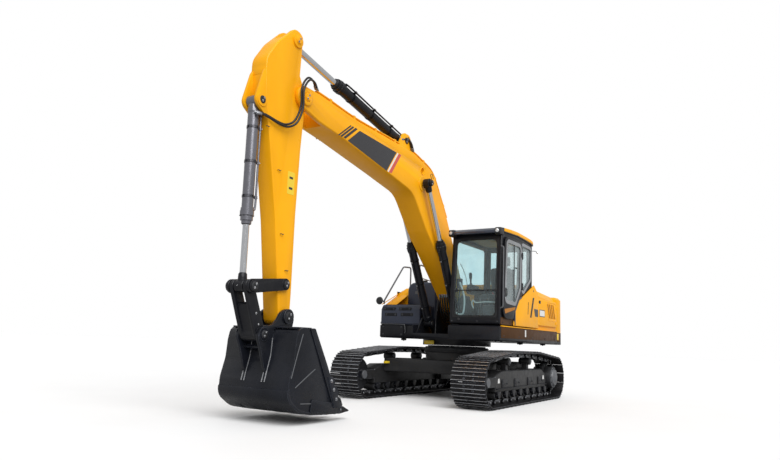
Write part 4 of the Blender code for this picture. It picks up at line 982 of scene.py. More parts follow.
# ---- cab ----------------------------------------------------------------------------------------
CAB_X = (0.42, 1.37)
CAB_SIDE, DOOR_SKIN = 1.37, 1.411  # the shell's and the door's outer faces
DOOR_WINDOW = [(-1.08, 1.8, 0.1), (-0.6, 1.78, 0.06), (-0.36, 2.06, 0.06), (-0.31, 2.84, 0.08),
    (-0.99, 2.84, 0.08)]
QUARTER_WINDOW = [(-0.13, 1.98, 0.06), (0.33, 2.3, 0.06), (0.36, 2.88, 0.06), (-0.13, 2.9, 0.06)]
RIGHT_WINDOW = [(-1.12, 1.62, 0.08), (0.32, 1.62, 0.08), (0.35, 2.9, 0.08), (-1.03, 2.9, 0.08)]


def glass_y(z):
    """The windshield's outer face, which leans back above the split."""
    return -1.208 + 0.0363 * (z - 1.504) if z < 2.0 else -1.19 + 0.0781 * (z - 2.0)


def grown(corners, by, steps=6):
    """A counterclockwise outline with corner radii, whose every side is moved out."""
    moved = []
    for i, (u, v, radius) in enumerate(corners):
        here = Vector((u, v))
        back = (here - Vector(corners[i - 1][:2])).normalized()
        ahead = (Vector(corners[(i + 1) % len(corners)][:2]) - here).normalized()
        normals = Vector((back.y, -back.x)), Vector((ahead.y, -ahead.x))
        moved.append((*(here + (normals[0] + normals[1]) * by / (1 + normals[0].dot(normals[1]))),
            max(radius + by, 0.004)))
    return rounded(moved, steps)


def cab_front(shape):
    corners = [(0.515, 1.525, 0.075), (1.275, 1.525, 0.075), (1.275, 2.875, 0.1), (0.515, 2.875, 0.1)]
    inner, outer = rounded(corners, 8), grown([(x, z, 0.001) for x, z, _ in corners], 0.024, 8)

    def leaning(outline, lift):
        return [(x, glass_y(z) - lift, z) for x, z in outline]

    shape.band(leaning(inner, 0.001), leaning(outer, 0.001), (0, -0.004, 0), PLASTIC)
    shape.loop(leaning(inner, 0.005), 0.007, RUBBER, (0, 1, 0))
    shape.loop(leaning(outer, 0.016), 0.008, RUBBER, (0, 1, 0))
    shape.box(0.495, 1.295, -1.204, -1.184, 1.963, 1.981, PLASTIC, 0.003)
    for x in (0.53, 1.26):
        shape.box(*about(x, 0.02), -1.182, -1.16, 1.94, 2.01, PLASTIC, 0.005)
    visor = [(-1.1, 3.065, 0), (-1.2, 3.06, 0.05), (-1.285, 3.005, 0.03), (-1.29, 2.965, 0.01),
        (-1.262, 2.955, 0.01), (-1.235, 2.99, 0.03), (-1.1, 2.995, 0)]
    shape.slab(rounded(visor, 6), 0.465, 1.325, GLOSS, 0.006)
    for x, side in ((0.455, -1), (1.335, 1)):
        shape.slab(rounded([(-1.06, 3.075, 0.02), (-1.285, 3.055, 0.03), (-1.29, 2.935, 0.03),
            (-1.1, 2.94, 0.02)], 5), *about(x, 0.052), PLASTIC, 0.014)
        shape.lathe((x, -1.282, 2.995), (side * 0.15, -1, 0), [(0, 0.04), (0.016, 0.04), (0.018, 0.033)],
            CAST, 24)
        shape.lathe((x, -1.286, 2.995), (side * 0.15, -1, 0), [(0.01, 0.033), (0.018, 0.03), (0.022, 0.015),
            (0.023, 0.0)], LAMP, 24)
    shape.tube([(0.6, -1.232, 1.455), (0.585, -1.238, 1.6), (0.565, -1.23, 1.8), (0.56, -1.218, 1.93)],
        0.007, PLASTIC, 8)
    shape.box(0.553, 0.563, -1.222, -1.208, 1.66, 2.18, RUBBER, 0.003)
    shape.drum((-1.225, 1.455), 0.024, 0.585, 0.625, PLASTIC, 18)
    for x in (0.47, 0.95, 1.32):
        shape.bolt((x, -1.2285, 1.43), AHEAD, 0.009, 0.008)


def cab_outside():
    shape = Shape()
    cab_front(shape)
    roof = [(-1.07, 3.072), (-0.75, 3.092), (-0.4, 3.1), (0.1, 3.083), (0.3, 3.07), (0.425, 3.05),
        (0.458, 3.02), (0.455, 2.985), (0.3, 3.005), (-0.4, 3.035), (-1.07, 3.01)]
    shape.slab(roof, 0.412, 1.388, YELLOW, 0.01)
    shape.slab([(y, z - 0.035) for y, z in roof[5:7]] + [(0.45, 2.955), (0.3, 2.985), (-0.4, 3.018),
        (-1.07, 2.995), (-1.07, 3.015), (-0.4, 3.04)], 1.36, 1.386, PLASTIC, 0.004)
    for y, z in ((-0.8, 3.0945), (-0.45, 3.1035), (-0.1, 3.0955), (0.22, 3.0805)):
        shape.box(0.52, 1.28, *about(y, 0.05), z - 0.02, z, YELLOW, 0.006)
    for pane, x, side in ((QUARTER_WINDOW, CAB_SIDE, 1), (RIGHT_WINDOW, CAB_X[0], -1)):
        shape.band(at_x(x, grown(pane, -0.012)), at_x(x, grown(pane, 0.045)), (side * 0.003, 0, 0), SMOKED)
        shape.loop(at_x(x - side * 0.006, grown(pane, -0.004)), 0.008, RUBBER)
    shape.box(0.52 - 0.012, 1.27 + 0.012, 0.428, 0.436, 2.035, 2.055, RUBBER, 0.003)
    shape.box(0.52 - 0.012, 1.27 + 0.012, 0.436, 0.444, 2.855, 2.875, RUBBER, 0.003)
    shape.rail([(1.365, -1.196, 1.66), (1.412, -1.196, 1.68), (1.412, -1.18, 2.72), (1.365, -1.176, 2.74)],
        0.012, GREY, 0.03)
    shape.rail([(1.365, 0.4, 2.86), (1.44, 0.44, 2.86), (1.45, 0.47, 2.84)], 0.006, CAST, 0.02, 8)
    shape.lathe((1.45, 0.47, 2.84), (0.3, 0.2, -0.2), [(0, 0.016), (0.03, 0.018), (0.034, 0.0)], LAMP, 16)
    # A dark ochre patch on the black cab side: a painted reflection of the yellow deck.
    shape.slab([(-1.2, 1.385), (-0.64, 1.385), (-0.61, 1.5), (-0.66, 1.505), (-1.2, 1.505)], CAB_SIDE,
        CAB_SIDE + 0.003, SHADE_AND_REFLECTION_OCHRE)
    for y in (-1.1, -0.75):
        shape.bolt((CAB_SIDE + 0.003, y, 1.42), 1, 0.009, 0.007)
    shape.ride("cab_trim", "upperstructure", "black_paint")


def cab_door():
    shape = Shape()
    shape.band(at_x(DOOR_SKIN, grown(DOOR_WINDOW, -0.016)), at_x(DOOR_SKIN, grown(DOOR_WINDOW, 0.048)),
        (0.003, 0, 0), SMOKED)
    shape.loop(at_x(DOOR_SKIN - 0.01, grown(DOOR_WINDOW, -0.003)), 0.009, RUBBER)
    # An amber wedge below the door window, in the same darkened yellow.
    shape.slab([(-0.585, 1.715), (-0.62, 1.665), (-1.09, 1.575), (-1.12, 1.65)], DOOR_SKIN,
        DOOR_SKIN + 0.003, SHADED_AMBER)
    shape.slab(rect(-1.105, -1.055, 1.86, 2.02, 0.01, 3), DOOR_SKIN, DOOR_SKIN + 0.01, PLASTIC, 0.003)
    shape.rail(at_y(-1.08, [(1.415, 1.88), (1.44, 1.89), (1.44, 1.99), (1.415, 2.0)]), 0.007, CAST, 0.01)
    shape.drum((-1.08, 1.845), 0.01, DOOR_SKIN - 0.002, DOOR_SKIN + 0.006, STEEL, 14)
    shape.box(1.404, 1.42, -0.665, -0.655, 1.82, 2.82, RUBBER, 0.003)
    shape.box(1.413, 1.43, -0.62, -0.54, 2.4, 2.425, PLASTIC, 0.005)
    shape.rail([(1.36, -0.95, 1.72), (1.33, -0.95, 1.75), (1.33, -0.55, 1.8), (1.36, -0.55, 1.82)], 0.01,
        PLASTIC, 0.03)
    for z in (2.05, 2.62):
        shape.lathe((1.404, -0.215, z - 0.004), UP, [(0, 0.017), (0.003, 0.0195), (0.125, 0.0195),
            (0.128, 0.017)], PLASTIC, 18)
        for dz in (0.04, 0.08):
            shape.bolt((1.4165, -0.275, z + dz), 1, 0.007, 0.006)
    shape.ride("cab_door_trim", "cab_door", "black_paint")


CROWN = 6  # a pad's corners: 2 is an ellipsoid, and a high number a box


def cushion(name, centre, tilt, half, channels):
    """A stuffed pad: a crowned block with drawn-in sides, sewn channels and a piped seam."""
    bm = bmesh.new()
    bmesh.ops.create_cube(bm, size=2.0)
    bmesh.ops.subdivide_edges(bm, edges=bm.edges, cuts=23, use_grid_fill=True)
    turn = Matrix.Rotation(math.radians(tilt), 4, "X")
    place = Matrix.Translation(Vector(centre) + Vector((0, SWING_Y, 0))) @ turn

    def shaped(p):
        size = sum(abs(c) ** CROWN for c in p) ** (-1 / CROWN)
        x, y, z = (c * size * h for c, h in zip(p, half))
        pull = 1 - 0.05 * (1 - min(abs(p[0]), abs(p[1]))) * abs(max(abs(p[0]), abs(p[1])))
        if p[2] > 0:
            for line in channels:
                z -= 0.01 * math.exp(-(((x / half[0]) - line) * half[0] / 0.007) ** 2)
        return place @ Vector((x * pull, y * pull, z))

    for vert in bm.verts:
        vert.co = shaped(vert.co.copy())
    for face in bm.faces:
        face.smooth = True
    mesh = bpy.data.meshes.new(name)
    bm.to_mesh(mesh)
    bm.free()
    mesh.materials.append(CLOTH)
    pad = placed(name, mesh)
    seam = Shape()
    ring = [shaped((*p, 0.45)) - Vector((0, SWING_Y, 0)) for p in rect(-1, 1, -1, 1, 0.01, 2)]
    dense = [a.lerp(b, t / 6) for a, b in zip(ring, ring[1:] + ring[:1]) for t in range(6)]
    seam.loop(dense, 0.0035, PLASTIC, turn @ Vector((0, 0, 1)), 6)
    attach(pad, "upperstructure")
    seam.ride(f"{name}_piping", "upperstructure", "seat_cover")


def cab_inside():
    cushion("seat_cushion", (0.9, -0.285, 1.9), 2.0, (0.235, 0.255, 0.062), (-0.45, 0.45))
    cushion("seat_back", (0.9, 0.055, 2.195), 101.0, (0.215, 0.315, 0.055), (-0.5, 0.0, 0.5))
    cushion("seat_headrest", (0.9, 0.135, 2.635), 97.0, (0.135, 0.095, 0.045), ())
    shape = Shape()
    shape.box(0.67, 1.13, -0.53, -0.03, 1.8, 1.838, PLASTIC, 0.012)
    shape.slab(rounded([(0.085, 1.87, 0.02), (0.115, 1.87, 0.02), (0.235, 2.48, 0.03), (0.195, 2.49, 0.03)],
        4), 0.7, 1.1, PLASTIC, 0.01)
    for x in (0.84, 0.96):
        shape.tube(at_x(x, [(0.175, 2.46), (0.185, 2.53), (0.19, 2.6)]), 0.007, STEEL)
    for k in range(5):
        z = 1.5 + 0.058 * k
        inset = 0.012 * (k % 2)
        shape.box(0.73 + inset, 1.07 - inset, -0.44 + inset, -0.01 - inset, z, z + 0.055, RUBBER, 0.016)
    shape.box(0.72, 1.08, -0.46, 0.0, 1.432, 1.5, PLASTIC, 0.01)
    shape.rail([(1.15, -0.05, 1.86), (1.16, -0.3, 1.8), (1.16, -0.4, 1.8)], 0.01, STEEL, 0.03)
    shape.tube([(0.7, 0.07, 2.06), (0.78, -0.02, 1.98), (0.95, -0.06, 1.965), (1.1, 0.02, 2.02)], 0.01, RED,
        6)
    shape.ride("seat_frame", "upperstructure", "seat_cover", "operator_seat")

    shape = Shape()
    for x in (0.56, 1.24):
        shape.slab(rounded([(-0.7, 2.092, 0.02), (-0.36, 2.084, 0.02), (-0.36, 2.11, 0.02),
            (-0.68, 2.118, 0.02)], 4), *about(x, 0.052), CLOTH, 0.01)
        shape.lathe((x, -0.62, 2.1), (0, -0.05, 1), [(0, 0.045), (0.012, 0.04), (0.016, 0.03),
            (0.028, 0.032), (0.034, 0.022), (0.05, 0.02)], RUBBER, 20)
        shape.lathe((x, -0.636, 2.22), (0, -0.08, 1), [(0, 0.018), (0.02, 0.026), (0.09, 0.03),
            (0.12, 0.024), (0.13, 0.0)], PLASTIC, 18)
        for k in range(4):
            shape.box(x - 0.035 + 0.02 * k, x - 0.02 + 0.02 * k, -0.3, -0.28, 2.058, 2.072, LIGHT, 0.002)
    for x in (0.82, 0.98):
        shape.rail(at_x(x, [(-0.72, 1.436), (-0.74, 1.62), (-0.8, 1.86)]), 0.009, STEEL, 0.05)
        shape.slab([(-0.86, 1.5), (-0.7, 1.44), (-0.695, 1.455), (-0.855, 1.515)], *about(x, 0.05), RUBBER,
            0.004)
    shape.box(0.47, 0.56, -1.02, -0.98, 2.02, 2.2, PLASTIC, 0.01)
    shape.box(0.478, 0.552, -0.981, -0.976, 2.035, 2.185, SCREEN, 0.002)
    shape.tube([(0.515, -1.0, 2.03), (0.505, -1.02, 1.85), (0.49, -1.06, 1.66)], 0.012, PLASTIC, 8)
    shape.tube([(0.57, -1.13, 2.12), (0.62, -1.135, 2.0), (0.665, -1.14, 1.85), (0.67, -1.145, 1.7),
        (0.65, -1.15, 1.57), (0.585, -1.15, 1.545), (0.52, -1.15, 1.57)], 0.017, LIGHT, 12)
    shape.tube([(0.56, -1.09, 2.46), (0.63, -1.1, 2.33), (0.68, -1.11, 2.2), (0.71, -1.12, 2.07)], 0.009,
        LIGHT)
    shape.tube([(1.27, -1.1, 1.765), (1.05, -1.11, 1.77), (0.88, -1.11, 1.76), (0.82, -1.11, 1.8),
        (0.8, -1.11, 1.74), (0.83, -1.11, 1.66)], 0.011, LIGHT)
    shape.box(0.97, 1.28, -1.05, -0.86, 1.445, 1.72, PLASTIC, 0.03)
    shape.box(0.5, 0.6, -0.95, -0.72, 1.435, 1.9, PLASTIC, 0.03)
    shape.slab(rect(-1.15, 0.35, 1.432, 1.44), 0.48, 1.31, RUBBER)
    shape.slab([(-1.12, 2.985), (0.38, 2.965), (0.38, 2.95), (-1.06, 2.968)], 0.48, 1.31, LIGHT, 0.004)
    shape.ride("cab_controls", "upperstructure", "black_paint")


# ---- deck, housing and tail ---------------------------------------------------------------------
def louvres(shape, y0, y1, z0, z1, x, side, count):
    """A recessed vent with a row of slanted fins, on a side of the housing."""
    shape.slab(rect(y0, y1, z0, z1, 0.03, 5), *skin(x, side, 0.002), DECAL)
    for k in range(count):
        z = z0 + (z1 - z0) * (k + 0.5) / count
        shape.plate([(x + side * 0.001, y, z + dz) for y, dz in ((y0 + 0.02, -0.008), (y1 - 0.02, -0.008),
            (y1 - 0.02, 0.006), (y0 + 0.02, 0.006))], (side * 0.009, 0, -0.01), YELLOW, 0.002)


def latch(shape, x, side, y, z):
    """A paddle latch in its dish, with a key barrel."""
    shape.slab(rect(*about(y, 0.055), *about(z, 0.03), 0.012, 3), *skin(x, side, 0.004), PLASTIC, 0.0015)
    low, high = skin(x, side, 0.012, 0.003)
    shape.slab(rect(y - 0.045, y + 0.02, *about(z, 0.018), 0.008, 3), low, high, PLASTIC, 0.003)
    shape.lathe((x, y + 0.037, z), side, [(0, 0.011), (0.008, 0.011), (0.01, 0.006)], STEEL, 14)


DOOR_X = 1.396  # a side door's outer face


def side_doors():
    for side, name in ((1, "left"), (-1, "right")):
        shape = Shape()
        face = side * DOOR_X
        low, high = skin(face, side, 0.002)
        if side > 0:
            rim = rounded([(1.22, 1.93, 0.05), (1.4, 1.55, 0.06), (1.82, 1.57, 0.06),
                (1.86, 1.93, 0.05)][::-1], 6)
            shape.loop(at_x(face, rim), 0.006, YELLOW)
            for k in range(4):
                y = 1.295 + 0.115 * k
                # Dark amber strips between the fins: painted shade in the vent's slots.
                shape.slab([(y, 1.895), (y + 0.05, 1.895), (y + 0.175, 1.61), (y + 0.125, 1.61)], low, high,
                    SHADED_AMBER)
                shape.plate(at_x(face, [(y + 0.05, 1.895), (y + 0.07, 1.895), (y + 0.195, 1.61),
                    (y + 0.175, 1.61)]), (0.008, -0.006, 0), YELLOW, 0.002)
            shape.slab(rect(0.8, 1.13, 1.615, 1.755, 0.01, 3), low, high, DECAL)
            shape.slab(rect(0.82, 1.115, 1.63, 1.74, 0.008, 3), low + 0.0008, high + 0.0008, WHITE)
        else:
            louvres(shape, 0.86, 1.34, 1.52, 1.88, face, side, 9)
            louvres(shape, 1.4, 1.8, 1.52, 1.88, face, side, 9)
        latch(shape, face, side, 0.84 if side < 0 else 0.815, 1.9 if side > 0 else 1.92)
        for z in (1.52, 1.84):
            shape.box(*skin(face, side, 0.009), 1.885, 1.932, *about(z, 0.03), YELLOW, 0.003)
        shape.ride(f"side_door_trim_{name}", f"{name}_side_door", "yellow_paint")


def hood_details():
    shape = Shape()

    def top(x, y, lift=0.0):
        return 2.2505 - 0.045 * max(0.0, abs(x - 0.03) - 0.5) - 0.065 * (y - 0.5) + lift

    for x0, x1 in ((-0.42, -0.06), (0.06, 0.42)):
        for k in range(7):
            y = 0.92 + 0.075 * k
            z = top(0, y)
            shape.plate([(x, y + dy, z + dz) for x, dy, dz in ((x0, 0, -0.004), (x1, 0, -0.004),
                (x1, 0.045, 0.012), (x0, 0.045, 0.012))], (0, 0.008, -0.016), YELLOW, 0.003)
            shape.box(x0 + 0.006, x1 - 0.006, y + 0.047, y + 0.062, z - 0.008, z + 0.001, DECAL, 0.0)
    for x in (-0.6, 0.7):
        shape.rail([(x, 0.7, top(x, 0.7, -0.005)), (x, 0.7, top(x, 0.7, 0.055)),
            (x, 0.88, top(x, 0.88, 0.055)), (x, 0.88, top(x, 0.88, -0.005))], 0.009, PLASTIC, 0.02)
    for x in (-0.78, 0.88):
        for y in (0.8, 1.3, 1.75):
            shape.box(*about(x, 0.07), *about(y, 0.13), top(x, y, -0.012), top(x, y, 0.002), RUBBER, 0.003)
    shape.ride("hood_trim", "engine_hood", "yellow_paint")


def engine():
    """The engine bay behind the doors and under the hood: block, heads, filters, fan and hoses."""
    shape = Shape()
    shape.box(-0.55, 0.4, 1.26, 1.74, 1.38, 1.72, CAST, 0.02)
    shape.box(-0.5, 0.35, 1.32, 1.66, 1.72, 1.84, CAST, 0.02)
    shape.box(-0.46, 0.31, 1.36, 1.62, 1.84, 1.92, GREY, 0.025)
    for k in range(6):
        x = -0.4 + 0.13 * k
        shape.tube(at_x(x, [(1.3, 1.6), (1.24, 1.74), (1.33, 1.86)]), 0.007, STEEL, 8, 4)
        shape.bolt((x, 1.49, 1.92), UP, 0.014)
        shape.box(*about(x, 0.045), 1.735, 1.765, 1.42, 1.66, CAST, 0.01)
    shape.lathe((0.44, 1.5, 1.6), 1, [(0, 0.06), (0.03, 0.1), (0.035, 0.3), (0.05, 0.31), (0.055, 0.05),
        (0.07, 0.04), (0.07, 0.0)], PLASTIC)
    shape.box(0.53, 0.6, 1.16, 1.84, 1.38, 2.02, CAST, 0.012)
    for k in range(14):
        shape.box(0.6, 0.606, 1.18, 1.82, 1.4 + 0.044 * k, 1.415 + 0.044 * k, STEEL, 0.0)
    shape.lathe((-0.72, 1.3, 1.9), BACK, [(0, 0.07), (0.02, 0.11), (0.36, 0.11), (0.38, 0.07)], GREY, 28)
    for y in (1.36, 1.6):
        shape.lathe((-0.63, y, 1.42), UP, [(0, 0.05), (0.01, 0.055), (0.18, 0.055), (0.2, 0.04),
            (0.2, 0.0)], WHITE, 20)
    shape.tube([(-0.72, 1.5, 2.01), (-0.8, 1.48, 2.06), (-0.98, 1.46, 2.06), (-1.08, 1.45, 2.1)], 0.045,
        STEEL, 16)
    shape.tube([(0.35, 1.4, 1.8), (0.46, 1.36, 1.9), (0.53, 1.34, 1.92)], 0.03, RUBBER, 14)
    shape.tube([(0.35, 1.62, 1.5), (0.46, 1.66, 1.46), (0.53, 1.68, 1.46)], 0.03, RUBBER, 14)
    shape.ride("engine", "upperstructure", "cast_metal", "engine_block")


TAIL_X, TAIL_R = 1.3545, 2.82  # the counterweight's sides and its round back


def tail():
    shape = Shape()
    corner = math.sqrt(2.824**2 - 1.355**2)
    angle = math.degrees(math.atan2(corner, 1.355))
    round_side = rounded([(TAIL_X, corner - 0.3, 0), (TAIL_X, corner + 0.02, 0.25), (0.98, 2.648, 0)],
        6)[1:-1]
    curve = arc((0, 0), TAIL_R + 0.0035, angle + 7, 173 - angle, 24)
    outline = [(-TAIL_X, 2.04), (TAIL_X, 2.04), *round_side, *curve,
        *[(-x, y) for x, y in reversed(round_side)]]
    # The tail's lower band in dark ochre: painted shade on yellow paint, with black below it.
    shape.slab(outline, 1.15, 1.335, SHADE_AND_REFLECTION_OCHRE, 0.004, "z")
    shape.slab(outline, 1.086, 1.15, PLASTIC, 0.004, "z")
    for side in (-1, 1):
        shape.box(*skin(0, side, TAIL_X + 0.004, TAIL_X), 2.09, 2.2, 1.185, 1.315, STICKER, 0.001)
        shape.rail(at_x(side * 0.62, [(2.24, 2.08), (2.24, 2.165), (2.44, 2.165), (2.44, 2.08)]), 0.019,
            YELLOW, 0.03)
        for y in (2.24, 2.44):
            shape.lathe((side * 0.62, y, 2.083), UP, [(0, 0.045), (0.006, 0.042)], YELLOW, 20)
        a = math.radians(68)
        x, y = TAIL_R * math.cos(a), TAIL_R * math.sin(a)
        out = Vector((side * math.cos(a), math.sin(a), 0))
        along = Vector((-out.y, out.x, 0)) * side
        for lift, deep, grow, finish in ((0.0, 0.01, 1.0, PLASTIC), (0.01, 0.004, 0.86, RED)):
            middle = Vector((side * x, y, 1.6)) + out * (lift - 0.004)
            corners = rect(-0.11, 0.11, -0.045, 0.045)
            shape.plate([middle + along * u * grow + Vector((0, 0, v * grow)) for u, v in corners],
                out * deep, finish, 0.003)
        for k in range(3):
            b = math.radians(74 + 5 * k)
            out = Vector((side * math.cos(b), math.sin(b), 0))
            middle = out * 2.817 + Vector((0, 0, 1.245))
            along = Vector((-out.y, out.x, 0))
            shape.plate([middle + along * u + Vector((0, 0, v)) for u, v in ((-0.09, -0.03), (0.09, -0.03),
                (0.09, 0.03), (-0.09, 0.03))], out * 0.0085, RED if k % 2 else WHITE)
    seam = [(*polar((0, 0), TAIL_R + 0.002, a), 1.98) for a in range(114, 65, -3)]
    # A seam on the tail, drawn in the dark painted-shade ochre.
    shape.tube(seam, 0.005, SHADE_AND_REFLECTION_OCHRE, 8, 0)
    shape.lathe((0, 2.6, 2.083), UP, [(0, 0.055), (0.008, 0.052), (0.01, 0.03), (0.01, 0)], PLASTIC, 24)
    shape.lathe((0.25, 2.805, 1.78), BACK, [(0, 0.04), (0.01, 0.04), (0.016, 0.03), (0.016, 0)], PLASTIC,
        24)
    shape.ride("counterweight_trim", "upperstructure", "yellow_paint")


FAIRING_X, SKIRT_X = 1.4, 1.3745  # outer faces of the left fairing and of the skirt below it


def deck_sides():
    shape = Shape()
    # The yellow skirts on both sides of the deck, drawn dark ochre: painted shade where they slope in under
    # the deck.
    shape.slab(rect(-1.17, 2.02, 1.155, 1.352), 1.3705, SKIRT_X, SHADE_AND_REFLECTION_OCHRE, 0.001)
    shape.slab(rect(-1.16, 2.02, 1.35, 1.366), 1.355, 1.385, YELLOW, 0.004)
    shape.slab(rect(-0.05, 2.02, 1.355, 1.17), -1.3645, -1.3605, SHADE_AND_REFLECTION_OCHRE, 0.001)
    shape.box(SKIRT_X, SKIRT_X + 0.0015, 0.02, 0.085, 1.2, 1.325, WHITE, 0.0)
    for y in (0.1, 1.45):
        for side in (-1, 1):
            shape.box(*skin(0, side, 1.3, 1.2), *about(y, 0.03), 1.06, 1.102, BLACK, 0.01)
            shape.bolt((side * 1.25, y, 1.061), DOWN, 0.012)
    for y in (-1.05, -0.3, 0.45, 1.2, 1.85):
        shape.bolt((SKIRT_X, y, 1.19), 1, 0.01, 0.008)
    shape.slab(rounded([(0.395, 1.955, 0.008), (0.468, 1.955, 0.008), (0.308, 1.57, 0.008),
        (0.235, 1.57, 0.008)][::-1], 3), FAIRING_X, FAIRING_X + 0.0035, PLASTIC, 0.001)
    shape.lathe((FAIRING_X, 0.43, 2.085), 1, [(0, 0.017), (0.003, 0.017), (0.005, 0.01)], DECAL, 18)
    shape.slab([(0.525, 1.6), (0.7, 1.6), (0.7, 1.745), (0.46, 1.745)], FAIRING_X, FAIRING_X + 0.002, DECAL)
    # A slanted line on the fairing, drawn in the dark painted-shade ochre.
    shape.slab([(0.1, 1.62), (0.125, 1.62), (0.155, 1.85), (0.13, 1.85)], FAIRING_X, FAIRING_X + 0.0012,
        SHADE_AND_REFLECTION_OCHRE)
    shape.slab([(-0.6, 1.392), (-0.555, 1.392), (-0.555, 1.64), (-0.36, 1.85), (-0.22, 1.905),
        (-0.23, 1.93), (-0.38, 1.885), (-0.595, 1.66)], 1.373, 1.406, SLATE, 0.005)
    shape.box(0.5, 0.95, 0.475, 0.497, 1.5, 2.1, DECAL)
    for k in range(4):
        x, y = 1.2 - 0.28 * (k % 2), -0.98 + 0.26 * (k // 2)
        shape.bolt((x, y, 1.1), DOWN, 0.016)
    shape.box(-0.36, -0.16, -0.675, -0.655, 1.005, 1.075, STICKER, 0.003)
    shape.ride("deck_trim", "upperstructure", "black_paint")


PLATE_Y, TANK_X, RAIL_X = -0.684, -1.352, -1.33  # front plate, tank's right face, front handrail


def tanks():
    shape = Shape()
    front = -0.6785
    for row, z in enumerate((1.665, 1.555)):
        for k in range(2):
            x = -1.16 + 0.36 * k + 0.04 * row
            shape.box(*about(x, 0.14), front + 0.004, front + 0.024, *about(z, 0.032), BLACK, 0.008)
            for dx in (-0.1, 0.1):
                shape.bolt((x + dx, front + 0.004, z), AHEAD, 0.014, 0.012)
    shape.box(TANK_X, -0.468, -0.68, -0.664, 1.386, 1.405, SLATE, 0.003)
    shape.tube([(-1.345, PLATE_Y, 1.37), (-1.2, -0.686, 1.366), (-0.86, PLATE_Y, 1.366),
        (-0.8, PLATE_Y, 1.352), (-0.78, PLATE_Y, 1.22), (-0.8, PLATE_Y, 1.2)], 0.007, GREY, 8)
    shape.slab(rect(-1.33, -0.82, 1.13, 1.345, 0.02), PLATE_Y, -0.67, BLACK, 0.004, "y")
    for x in (-1.28, -0.87):
        for z in (1.17, 1.31):
            shape.bolt((x, PLATE_Y, z), AHEAD, 0.012)
    for k in range(5):
        y = -0.58 + 0.1 * k
        shape.box(-1.3, -0.52, y, y + 0.05, 1.75, 1.757, RUBBER, 0.002)
    shape.box(-1.354, -1.348, -0.55, -0.22, 1.46, 1.68, DECAL, 0.002)
    shape.slab(rect(-0.9, -0.74, 2.0, 2.06, 0.01, 3), -0.1035, -0.1005, GREY, along="y")
    shape.lathe((-0.75, 0.02, 2.238), UP, [(0, 0.075), (0.012, 0.075), (0.014, 0.062), (0.045, 0.06),
        (0.05, 0.05), (0.05, 0)], PLASTIC, 28)
    shape.loop(at_y(0.17, rounded([(-1.082, 1.45, 0.02), (-0.418, 1.45, 0.02), (-0.418, 2.242, 0.1),
        (-1.082, 2.242, 0.16)], 5)), 0.01, PLASTIC, (0, 1, 0))
    shape.lathe((-1.17, 0.4, 2.138), UP, [(0, 0.055), (0.01, 0.055), (0.035, 0.045), (0.036, 0)], YELLOW,
        24)
    shape.plate([(-1.345, -0.672, 1.76), (-1.325, -0.672, 1.76), (-1.325, 0.16, 2.095),
        (-1.345, 0.16, 2.095)], (0, 0.0, -0.012), YELLOW, 0.003)
    shape.plate(at_x(TANK_X, [(-0.52, 1.752), (0.1, 2.055), (-0.06, 2.055), (-0.055, 1.752)]),
        (0.012, 0, 0), YELLOW, 0.003)
    shape.plate([(TANK_X, -0.52, 1.752), (TANK_X, 0.1, 2.055), (-1.1, 0.1, 2.055), (-1.1, -0.52, 1.752)],
        (0, 0.006, -0.012), YELLOW, 0.003)
    shape.rail(at_x(RAIL_X, [(-0.6, 1.765), (-0.6, 1.83), (0.14, 2.6), (0.46, 2.62), (0.46, 2.14)]), 0.0165,
        GREY, 0.06)
    shape.rail(at_x(-1.2, [(0.62, 2.12), (0.62, 2.7), (1.3, 2.66), (1.3, 2.1)]), 0.0165, GREY, 0.07)
    shape.rail([(-1.2, 0.62, 2.42), (-1.2, 1.3, 2.38)], 0.012, GREY)
    for y, z in ((0.46, 2.145), (0.62, 2.168), (1.3, 2.115)):
        shape.lathe((RAIL_X if y < 0.5 else -1.2, y, z - 0.02), UP, [(0, 0.04), (0.01, 0.038)], GREY, 18)
    shape.tube([(RAIL_X, -0.585, 1.8), (-1.37, -0.62, 1.84), (-1.405, -0.655, 1.845)], 0.011, PLASTIC)
    shape.lathe((-1.408, -0.686, 1.83), BACK, [(0, 0.02), (0.012, 0.06), (0.022, 0.074), (0.04, 0.078),
        (0.046, 0.074)], PLASTIC, 28)
    shape.lathe((-1.408, -0.643, 1.83), BACK, [(0, 0.07), (0.0035, 0.069), (0.004, 0)], MIRROR, 28)
    shape.lathe((-1.08, 1.45, 2.13), UP, [(0, 0.075), (0.01, 0.075), (0.02, 0.066), (0.055, 0.066),
        (0.07, 0.056), (0.19, 0.056), (0.19, 0.044), (0.05, 0.044), (0.05, 0)], CAST)
    shape.ride("tank_trim", "upperstructure", "slate_paint", "right_handrail", "exhaust_pipe")


def boom_foot_lines():
    """The swing motor, the valve block and the hoses round the boom's foot."""
    shape = Shape()
    shape.box(-0.47, -0.405, -0.6, -0.22, 1.365, 1.46, CAST, 0.01)
    shape.lathe((0.0, 0.6, 1.21), UP, [(0, 0.17), (0.02, 0.18), (0.06, 0.18), (0.08, 0.13), (0.42, 0.13),
        (0.46, 0.09), (0.46, 0)], CAST)
    shape.ride("foot_lines", "upperstructure", "black_paint")
    shape = Shape()
    for k in range(6):
        x = -0.15 + 0.06 * k
        shape.hose([(x, 0.3, 1.3), (x, 0.1, 1.34), (x, -0.16, 1.4), (x * 0.9, -0.4, 1.56),
            (x * 0.8, -0.51, 1.8), (x * 0.8, -0.53, 1.96)])
    hoses = shape.made("foot_hoses")
    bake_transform(hoses)
    shape = Shape()
    for side in (-1, 1):
        pin_end(shape, BOOM_FOOT, side * 0.275, side, 0.06)
        pin_end(shape, BOOM_CYL_BASE, side * 0.412, side, 0.045)
        for y, z in ((0.35, 1.42), (0.05, 1.42), (-0.3, 1.42)):
            shape.bolt((side * 0.248, y, z), side, 0.016)
    shape.ride("foot_pins", "upperstructure", "black_paint")


